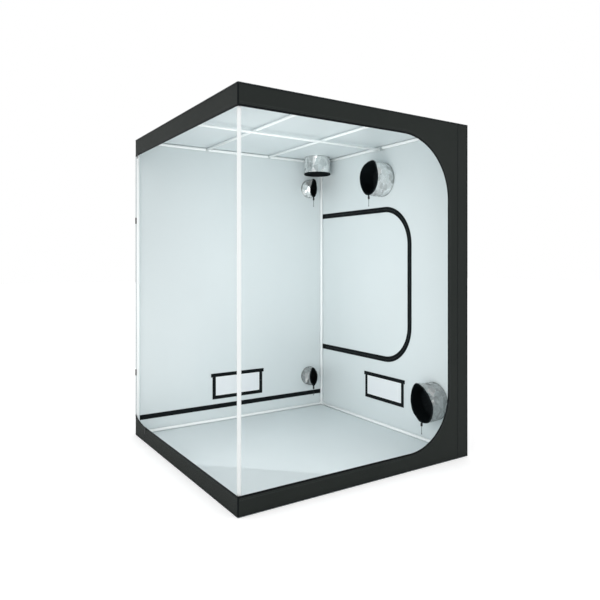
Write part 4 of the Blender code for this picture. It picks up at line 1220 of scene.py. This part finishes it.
def make_vent(side, vent, put):
    u, v, half_u, half_v = vent
    (low_u, low_v), _, (high_u, high_v), _ = vent_window(vent, -FIT)
    depth, half = CLOTH / 2, SCREEN_THREAD / 2
    threads = []
    for at in thread_starts(low_u, high_u):
        outline = rectangle(at, at + SCREEN_THREAD, low_v, high_v)
        threads.append(prism(outline, depth, depth + half, put))
    for at in thread_starts(low_v, high_v):
        outline = rectangle(low_u, high_u, at, at + SCREEN_THREAD)
        threads.append(prism(outline, depth - half, depth, put))
    add_piece(f"{side}_vent_mesh", threads, SOCK, stands_for=f"{side}_vent_screen")
    flange = vent_window(vent, VENT_FLANGE), vent_window(vent, -FIT)
    rim = ring_prism(*flange, CLOTH + FIT, 2 * CLOTH + FIT, put)
    add_piece(f"{side}_vent_binding", [rim], TAPE)

    body = f"{side}_vent_flap"
    face = -FIT - CLOTH
    panel = vent_window(vent)
    border = ring_prism(vent_window(vent, VENT_TAPE), panel, face - TAPE_PROUD, -FIT, put)
    ear, top = half_u + VENT_EAR, v + half_v
    ears = rectangle(u - ear, u + ear, top - VENT_TAPE, top)
    strip = prism(ears, face - 2 * TAPE_PROUD, face - TAPE_PROUD, put)
    tape = add_piece(f"{side}_flap_border", [border, strip], TAPE, body, stands_for=body)
    bright = ring_prism(panel, vent_window(vent, -BRIGHT_LINE), face - TAPE_PROUD, face, put)
    add_piece(f"{side}_flap_piping", [bright], POWDER_COAT, body)
    filled = fill([panel])
    heights = FLAP_RIPPLE * ripples(filled, [], FLAP_SEED)
    shape = cloth(filled, put, face, face + CLOTH * FLAP_SHARE, heights)
    piece = add_piece(f"{side}_flap_panel", [shape], FLAP_FILM, body, angle=50)


make_vent("back", BACK_VENT, on_back)
make_vent("right", RIGHT_VENT, on_right)

# %% [markdown]
# ## Strip along the foot of the back wall
# A flat black tape is sewn across the back wall, a hand above the floor. It's one more band on
# the inside face, with a row of stitches along each edge.

# %% Strip on the back wall
line = densify([(strip_low.x, strip_low.z), (strip_high.x, strip_low.z)])
width = strip_high.z - strip_low.z
strip = band(line, 0, width, on_back, -FIT - CLOTH, -FIT)
add_piece("back_strip_tape", [strip], TAPE, stands_for="back_wall_strip")
rows = rows_beside(line, (STITCH_INSET, width - STITCH_INSET), on_back, -FIT - CLOTH, side=-1)
repeat_shape("back_strip_stitches", rows, STITCH, BLACK_THREAD)

# %% [markdown]
# ## Rolled door
# The door is one cloth of about 2.79 by 1.76 m. It is unzipped, thrown back round the corner and
# rolled up behind the back wall. The spiral is one sheet from the corner seam to the core, drawn
# in where each strap holds it. A plain cylinder would lack the turns that show at both ends.

# %% Roll the door as one spiral sheet
ROLL_CORE, ROLL_PITCH = 0.006, 0.00249
ROLL_STEPS, ROLL_ROWS = 36, 30
WAIST_RADIUS, WAIST_REACH = 0.042, 0.110
straps = [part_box(f"door_strap_{name}") for name in ("lower", "upper")]
STRAP_LEVELS = [(low.z + high.z) / 2 for low, high in straps]
STRAP_HALF = (straps[1][1].z - straps[1][0].z) / 2
ROLL_RADIUS = (roll_high.y - OUTSIDE - FIT) / 2
ROLL_X = roll_high.x - ROLL_RADIUS


def path_length(path):
    return sum((Vector(b) - Vector(a)).length for a, b in zip(path, path[1:]))


def roll_path(z):
    """The sheet's line at a height, from the corner seam to the core."""
    closest = min(abs(z - level) for level in STRAP_LEVELS)
    share = float(smooth(closest, STRAP_HALF, WAIST_REACH))
    full = ROLL_RADIUS - CLOTH
    radius = WAIST_RADIUS + (ROLL_RADIUS - WAIST_RADIUS) * share - CLOTH
    wall = OUTSIDE + FIT
    centre = Vector((ROLL_X, wall + CLOTH + radius))
    points = [Vector((-OUTSIDE, wall)), Vector(((-OUTSIDE + ROLL_X) / 2, wall))]
    for step in range(int((full - ROLL_CORE) / ROLL_PITCH * ROLL_STEPS) + 1):
        angle = -pi / 2 + tau * step / ROLL_STEPS
        reach = (full - ROLL_PITCH * step / ROLL_STEPS) * radius / full
        points.append(centre + Vector((reach * cos(angle), reach * sin(angle))))
    return points


low, high = roll_low.z, roll_high.z
levels = {low, high} | {low + (high - low) * row / ROLL_ROWS for row in range(ROLL_ROWS)}
for level in STRAP_LEVELS:
    levels |= {level - STRAP_HALF, level + STRAP_HALF, level - WAIST_REACH, level + WAIST_REACH}
rows = []
for z in sorted(levels):
    sheet = roll_path(z)
    rows.append([(*point, z) for point in sheet + shifted(sheet, CLOTH)[::-1]])
points, faces = skin(rows)
wide = len(rows[0])
last = len(points) - wide
for column in range(wide // 2 - 1):
    mirror = wide - 1 - column
    faces.append((column, mirror, mirror - 1, column + 1))
    faces.append((last + column, last + column + 1, last + mirror - 1, last + mirror))
length = path_length(roll_path(low))
piece = add_piece("rolled_door", [(points, faces)], CANVAS, angle=50, stands_for="main_door_roll")
held_by = ["back_wall_canvas", "door_strap_lower", "door_strap_upper"]
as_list(held_by)
print("rolled door", rounded((length, high - low)), "faces", len(faces))

# %% [markdown]
# ## Straps
# Two webbing straps start at a tab inside the corner, turn the corner and go over the roll. The
# path is drawn seen from above: straight runs, and an arc that they touch without a kink.

# %% Straps over the roll
STRAP_TAB, STRAP_FOOT, STRAP_FOOT_GAP = 0.018, 0.036, 0.024
STRAP_THICK = 0.0012


def tangent_angle(point, centre, radius, side):
    """The angle on a circle at which a line from a point outside just touches it."""
    dx, dy = point[0] - centre[0], point[1] - centre[1]
    return atan2(dy, dx) + side * acos(radius / hypot(dx, dy))


half = STRAP_THICK / 2
inner, corner = INSIDE - FIT - half, -OUTSIDE - FIT - half
outer, wall = OUTSIDE + 2 * FIT + CLOTH + half, OUTSIDE + FIT + half
centre, radius = (ROLL_X, OUTSIDE + FIT + WAIST_RADIUS), WAIST_RADIUS + FIT + half
foot = ROLL_X + WAIST_RADIUS + STRAP_FOOT_GAP
start = tangent_angle((corner, outer), centre, radius, -1)
end = tangent_angle((foot, wall), centre, radius, 1)
path = [(-OUTSIDE + STRAP_TAB, inner), (corner, inner), (corner, outer)]
path += arc(centre, radius, start % tau, end)
path += [(foot, wall), (foot + STRAP_FOOT, wall)]
length = path_length(path)
for name, level in zip(("lower", "upper"), STRAP_LEVELS):
    low, high = level - STRAP_HALF, level + STRAP_HALF
    rows = []
    for near, far in zip(shifted(path, -half), shifted(path, half)):
        rows.append([(*near, low), (*near, high), (*far, high), (*far, low)])
    strap = skin(rows, capped=True)
    piece = add_piece(
        f"strap_{name}_webbing", [strap], TAPE, angle=40, stands_for=f"door_strap_{name}"
    )
print("strap length", rounded([length]))

# %% [markdown]
# ## Duct ports
# Each port is a silver sleeve sewn into a hole, with a black lining through it. The lining is
# gathered shut outside, and hemmed round a drawcord at the mouth. A drawn mouth isn't round: its
# outline is a list of points, as shares of its half width and half height. The ring at the wall
# is a circle, and every ring between is a blend of the two.

# %% Outlines of the mouths
OUTLINES = {
    "right_upper_port": (
        (0.60, 1.00), (0.20, 0.99), (-0.22, 0.92), (-0.72, 0.67), (-0.95, 0.41), (-1.00, 0.10),
        (-0.92, -0.27), (-0.72, -0.60), (-0.26, -0.95), (0.08, -0.97), (0.49, -0.85),
        (0.74, -0.66), (0.95, -0.32), (1.00, 0.07), (0.92, 0.46), (0.78, 0.76),
    ),
    "right_lower_port": (
        (-0.55, 1.00), (-0.77, 0.78), (-0.94, 0.41), (-1.00, 0.08), (-0.94, -0.25),
        (-0.80, -0.55), (-0.46, -0.80), (-0.17, -0.99), (0.23, -1.00), (0.75, -0.85),
        (0.92, -0.55), (1.00, -0.26), (0.92, 0.05), (0.70, 0.36), (0.34, 0.68), (-0.09, 0.91),
    ),
    "back_upper_port": (
        (-0.20, 1.00), (0.50, 0.90), (0.81, 0.40), (0.97, -0.08), (0.75, -0.53), (0.22, -0.97),
        (-0.10, -0.98), (-0.78, -0.68), (-1.00, -0.40), (-0.83, 0.04), (-0.52, 0.48),
    ),
    "back_lower_port": (
        (-0.41, 1.00), (0.20, 0.93), (0.40, 0.70), (0.82, 0.38), (1.00, 0.06), (0.85, -0.45),
        (0.43, -0.86), (0.20, -0.99), (0.00, -1.00), (-0.30, -0.80), (-0.85, -0.45),
        (-0.98, -0.03), (-0.85, 0.43), (-0.62, 0.77),
    ),
}
SOFTEN = radians(7)


def mouth_reach(name, angle):
    """How far a mouth's outline lies from its middle at an angle, with its corners softened."""
    if name not in OUTLINES:
        return 1.0
    angles = [atan2(v, u) for u, v in OUTLINES[name]]
    reaches = [hypot(u, v) for u, v in OUTLINES[name]]
    near = [angle - SOFTEN, angle, angle, angle + SOFTEN]
    return float(np.interp(near, angles, reaches, period=tau).mean())


def port_point(name, angle, inset, share, level, gather=1.0):
    """A point of the ring at a share of the way from the wall to the mouth."""
    port = PORTS[name]
    drawn = share * share
    size = port.radius * (1 + port.flare * drawn)
    half_u, half_v = size * (1 - port.pinch * drawn) - inset, size - inset
    reach = gather * (1 + (mouth_reach(name, angle) - 1) * drawn)
    flat = Vector((cos(angle) * half_u * reach, sin(angle) * half_v * reach, level))
    return port.centre + port.frame @ flat


print("drawn mouths", len(OUTLINES))

# %% [markdown]
# The sleeve is crumpled film. A random cell pattern pushes it out most where the film has
# buckled, and not at all at its two seams. A thin piping binds it to the wall.

# %% Silver sleeves
SLEEVE_SIDES, SLEEVE_ROWS, SLEEVE_INNER = 144, 36, SLEEVE_WALL * 0.7
CRUMPLE, CRUMPLE_CELL, CRUMPLE_FADE = 0.0065, 0.034, 0.6
RIDGE_SHARP, RIDGE_SHARE, SWELL_SHARE, SWELL_SCALE = 1.6, 0.55, 0.45, 0.6
RIM_RADIUS, RIM_SIDES = 0.0012, 8
PORT_SEED = 3.7


def crumple(point, seed):
    """A share from 0 to 1 that rises in ridges between random cells of film."""
    place = point / CRUMPLE_CELL + Vector((seed, seed, seed))
    distances, _ = noise.voronoi(place)
    ridge = 1 - min(1, (distances[1] - distances[0]) * RIDGE_SHARP)
    return RIDGE_SHARE * ridge + SWELL_SHARE * abs(noise.noise(place * SWELL_SCALE))


def make_sleeve(name, seed):
    port = PORTS[name]

    def film(row, angle):
        inset, share = row
        level = max(FIT, share * port.reach)
        fade = sin(pi * share) ** CRUMPLE_FADE if 0 < share < 1 else 0
        push = CRUMPLE * fade * crumple(port_point(name, angle, inset, share, level), seed)
        return port_point(name, angle, inset - push, share, level)

    def piping(place, angle):
        u, v = place
        return port_point(name, angle, -RIM_RADIUS - FIT - u, 0, RIM_RADIUS + FIT + v)

    out = [(0, share) for share in shares(SLEEVE_ROWS)]
    back = [(SLEEVE_INNER, share) for share in reversed(shares(SLEEVE_ROWS))]
    sleeve = net(out + back, turns(SLEEVE_SIDES), film, looped=True)
    piece = add_piece(f"{name}_silver", [sleeve], SILVER, angle=18, stands_for=f"{name}_sleeve")
    size = (tau * port.radius, port.reach)
    rim = net(circle(RIM_RADIUS, RIM_SIDES), turns(SLEEVE_SIDES), piping, looped=True)
    add_piece(f"{name}_binding", [rim], RIM_CORD, angle=60)
    print(name, "sleeve", rounded(size))


for index, name in enumerate(PORTS):
    make_sleeve(name, seed=index * PORT_SEED)

# %% [markdown]
# The lining is one skin: pleated shut outside, straight through the sleeve, turned over the
# mouth as a hem. Its rings run up the outside of the tube of cloth and back down its inside.

# %% Black linings
SOCK_GAP, SOCK_WALL = 0.0008, 0.0012
HEM_LENGTH, HEM_STEP = 0.012, 0.0025
GATHER_SHARES = ((0, 1, 0), (0.40, 0.95, 0.04), (0.75, 0.60, 0.16), (1, 0.16, 0.30))
SOCK_SIDES, SOCK_ROWS, PLEATS = 96, 8, 24


def make_lining(name):
    port = PORTS[name]
    outer, inner = SLEEVE_WALL + SOCK_GAP, SLEEVE_WALL + SOCK_GAP + SOCK_WALL

    def nylon(row, angle):
        inset, share, level, gather, pleat = row
        fold = 1 - pleat * (0.5 - 0.5 * cos(PLEATS * angle))
        return port_point(name, angle, inset, share, level, gather * fold)

    gathered = [(-CLOTH - port.pouch * depth, *rest) for depth, *rest in GATHER_SHARES]
    straight = [(share, share * port.reach, 1, 0) for share in shares(SOCK_ROWS)]
    rows = [(outer, 0, *rest) for rest in reversed(gathered)] + [(outer, *rest) for rest in straight]
    for out, along in arc((0, 0), 1, -pi / 2, pi / 2, SOCK_ROWS):
        level = port.reach + FIT + HEM_LENGTH / 2 * (1 + along)
        rows.append((outer - (outer + HEM_STEP) * out, 1, level, 1, 0))
    rows.append((inner, 1, port.reach + HEM_LENGTH, 1, 0))
    rows += [(inner, *rest) for rest in reversed(straight)]
    rows += [(inner, 0, level + SOCK_WALL, *rest) for level, *rest in gathered]
    shape = net(rows, turns(SOCK_SIDES), nylon, capped=True)
    piece = add_piece(f"{name}_lining", [shape], SOCK, angle=60, stands_for=f"{name}_sock")
    size = (tau * port.radius, port.reach + 2 * HEM_LENGTH + port.pouch)
    print(name, "lining", rounded(size))


for name in PORTS:
    make_lining(name)

# %% [markdown]
# A drawcord's tail hangs 75 mm from the hem, through a spring lock, and ends in an overhand
# knot. Above the lock the cord draws the hem's cloth into a short pleated neck. The lock slides
# along the cord, so it's a piece of its own on its own body. The tail is a bevelled curve, and
# the knot a skin that follows a trefoil, which is an overhand knot with its ends joined.

# %% Drawcords, knots, necks and locks
CORD_DIAMETER, TAIL_LENGTH, TAIL_STEPS = 0.003, 0.075, 15
KNOT_SIZE, KNOT_STEPS, KNOT_SIDES, KNOT_CORD, KNOT_LOBES = 0.0026, 60, 8, 0.42, 3
NECK_RISE, NECK_DROP, NECK_WIDE, NECK_THIN = 0.012, 0.0035, 0.0160, 0.0045
NECK_FLAT, NECK_PLEATS, NECK_FOLD, NECK_STEPS, NECK_SIDES = 0.45, 7, 0.12, 8, 42
LOCK_BORE, LOCK_SIDES, LOCK_SOFT, LOCK_RIB = 0.0017, 28, 0.22, 0.07
LOCK_RIBS, LOCK_GROOVE = (0.28, 0.41, 0.54, 0.67), ((0, 0), (1, 1), (1, 3), (0, 4))


def hanging(name, along, aside=0.0, out=0.0):
    """A point on a port's drawcord, by its distance along the tail and across it."""
    port = PORTS[name]
    start, level = port.radius + HEM_STEP, port.reach + FIT + HEM_LENGTH / 2
    if name == "roof_port":
        lock_low, lock_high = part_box(f"{name}_cord_lock")
        level = ROOF_INSIDE - (lock_low.z + lock_high.z) / 2
        (_, wide, _), (depth, narrow, _) = GATHER_SHARES[:2]
        share = (-level - CLOTH) / (port.pouch * depth)
        start = (port.radius - SLEEVE_WALL - SOCK_GAP) * (wide + (narrow - wide) * share)
    return port.centre + port.frame @ Vector((aside, -start - along, level + out))


def make_drawcord(name):
    curve = bpy.data.curves.new(f"{name}_drawcord", "CURVE")
    curve.dimensions = "3D"
    spline = curve.splines.new("POLY")
    points = [hanging(name, TAIL_LENGTH * step / TAIL_STEPS) for step in range(TAIL_STEPS + 1)]
    spline.points.add(len(points) - 1)
    for target, point in zip(spline.points, points):
        target.co = (*point, 1)
    curve.bevel_depth = CORD_DIAMETER / 2
    curve.bevel_resolution = 3
    curve.use_fill_caps = True
    curve.materials.append(DRAWCORD)
    cord = add_object(f"{name}_drawcord", curve)
    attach(cord, "tent")
    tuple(points[0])


def make_knot(name):
    def loop(angle, across):
        u, v = across
        wide = (2 + cos(KNOT_LOBES * angle) + u) * KNOT_SIZE / 2
        along = TAIL_LENGTH - KNOT_SIZE + (sin(KNOT_LOBES * angle) + v) * KNOT_SIZE / 2
        return hanging(name, along, wide * cos(2 * angle), wide * sin(2 * angle))

    knot = net(turns(KNOT_STEPS), circle(KNOT_CORD, KNOT_SIDES), loop, looped=True)
    add_piece(f"{name}_knot", [knot], DRAWCORD, angle=60)


def make_lock(name):
    """A spring lock: a ribbed barrel round the cord."""
    low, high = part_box(f"{name}_cord_lock")
    down = PORTS[name].frame @ Vector((0, -1, 0))
    length, radius = abs((high - low).dot(down)), min(high - low) / 2
    soft, rib = radius * LOCK_SOFT, radius * LOCK_RIB
    profile = [(LOCK_BORE, 0), (radius - soft, 0), (radius, soft)]
    for share, (deep, along) in product(LOCK_RIBS, LOCK_GROOVE):
        profile.append((radius - rib * deep, length * share + rib * along))
    profile += [(radius, length - soft), (radius - soft, length), (LOCK_BORE, length)]
    shape = lathe(profile, (low + high) / 2 - down * length / 2, down, LOCK_SIDES, looped=True)
    node = f"{name}_cord_lock"
    add_piece(f"{name}_lock", [shape], LOCK_PLASTIC, node, angle=35, stands_for=node)


def make_neck(name):
    """Hem cloth drawn in by the cord: a short pleated funnel above the lock."""
    def funnel(share, angle):
        radius = NECK_WIDE + (NECK_THIN - NECK_WIDE) * float(smooth(share, 0, 1))
        reach = radius * (1 + NECK_FOLD * cos(NECK_PLEATS * angle))
        along = -NECK_RISE + (NECK_RISE + NECK_DROP) * share
        return hanging(name, along, reach * cos(angle), NECK_FLAT * reach * sin(angle))

    neck = net(shares(NECK_STEPS), turns(NECK_SIDES), funnel, capped=True)
    add_piece(f"{name}_neck", [neck], SOCK, angle=60)


for name in PORTS:
    make_drawcord(name)
    make_knot(name)
    make_lock(name)
    if name != "roof_port":
        make_neck(name)
print("drawcords", len(PORTS), "of", TAIL_LENGTH)

# %% [markdown]
# ## Solids that stay
# The zip sliders and their pulls are modelled finely enough to be kept. They only need the
# painted metal instead of their plain grey.

# %% Metal on the sliders and pulls
kept = [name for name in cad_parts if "slider" in name or "pull" in name]
for name in kept:
    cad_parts[name].material_slots[0].material = ZIP_METAL
print("kept solids", kept)

# %% [markdown]
# ## Studio
# The tent stands on a white floor in front of white. A Light Path node shows plain white to the
# camera and to mirrors, and keeps a slightly lower level for lighting. One lamp far in front
# gives the canvas its soft light, and two small ones inside lift the corner that faces the
# camera, high and low.

# %% Floor, background and light
WORLD_LEVEL, FLOOR_GLOW = 0.98, 0.35
FLOOR_HALF = 30
WHITE = (1, 1, 1, 1)
LAMPS = (
    # Name, place, target, size in metres, power in watts, spread in degrees.
    ("key", (-4.5, -4.5, 2.6), (0, 0, 1.0), 3.0, 10, 180),
    ("high", (-0.6, -0.6, 1.3), (0.76, 0.76, 1.75), 0.8, 1.8, 90),
    ("low", (-0.5, -0.5, 0.4), (0.76, 0.76, 1.5), 1.0, 5.7, 155),
)


def make_world():
    world = bpy.data.worlds.new("studio")
    bpy.context.scene.world = world
    world.use_nodes = True
    tree = world.node_tree
    tree.nodes.clear()
    ray = add_node(tree, "ShaderNodeLightPath").outputs
    seen = ray["Is Camera Ray"]
    for kind in ("Is Glossy Ray", "Is Transmission Ray"):
        seen = add_node(tree, "ShaderNodeMath", {0: seen, 1: ray[kind]}, operation="MAXIMUM")
    lit, white = (
        add_node(tree, "ShaderNodeBackground", {"Color": WHITE, "Strength": level})
        for level in (WORLD_LEVEL, 1.0)
    )
    mix = add_node(tree, "ShaderNodeMixShader", {0: seen, 1: lit, 2: white})
    add_node(tree, "ShaderNodeOutputWorld", {"Surface": mix})


def floor_pattern(tree):
    ray = add_node(tree, "ShaderNodeLightPath").outputs["Is Camera Ray"]
    glow = add_node(tree, "ShaderNodeMath", {0: ray, 1: FLOOR_GLOW}, operation="MULTIPLY")
    return {"Base Color": linear("#f4f4f4"), "Emission Color": WHITE, "Emission Strength": glow}


make_world()
corners = [(*point, 0) for point in rectangle(-FLOOR_HALF, FLOOR_HALF, -FLOOR_HALF, FLOOR_HALF)]
mesh = bpy.data.meshes.new("studio_floor")
mesh.from_pydata(corners, [], [(0, 1, 2, 3)])
mesh.materials.append(make_material("white_studio_floor", None, floor_pattern, Roughness=0.9))
floor = add_object("studio_floor", mesh)
floor.location = (0, 0, -FIT)
for name, place, target, size, power, spread in LAMPS:
    data = bpy.data.lights.new(name, "AREA")
    data.shape = "SQUARE"
    data.size = size
    data.energy = power
    data.spread = radians(spread)
    lamp = add_object(name, data)
    lamp.location = place
    lamp.visible_camera = False
    lamp.rotation_euler = (Vector(target) - Vector(place)).to_track_quat("-Z", "Y").to_euler()
print("lamps", len(LAMPS))
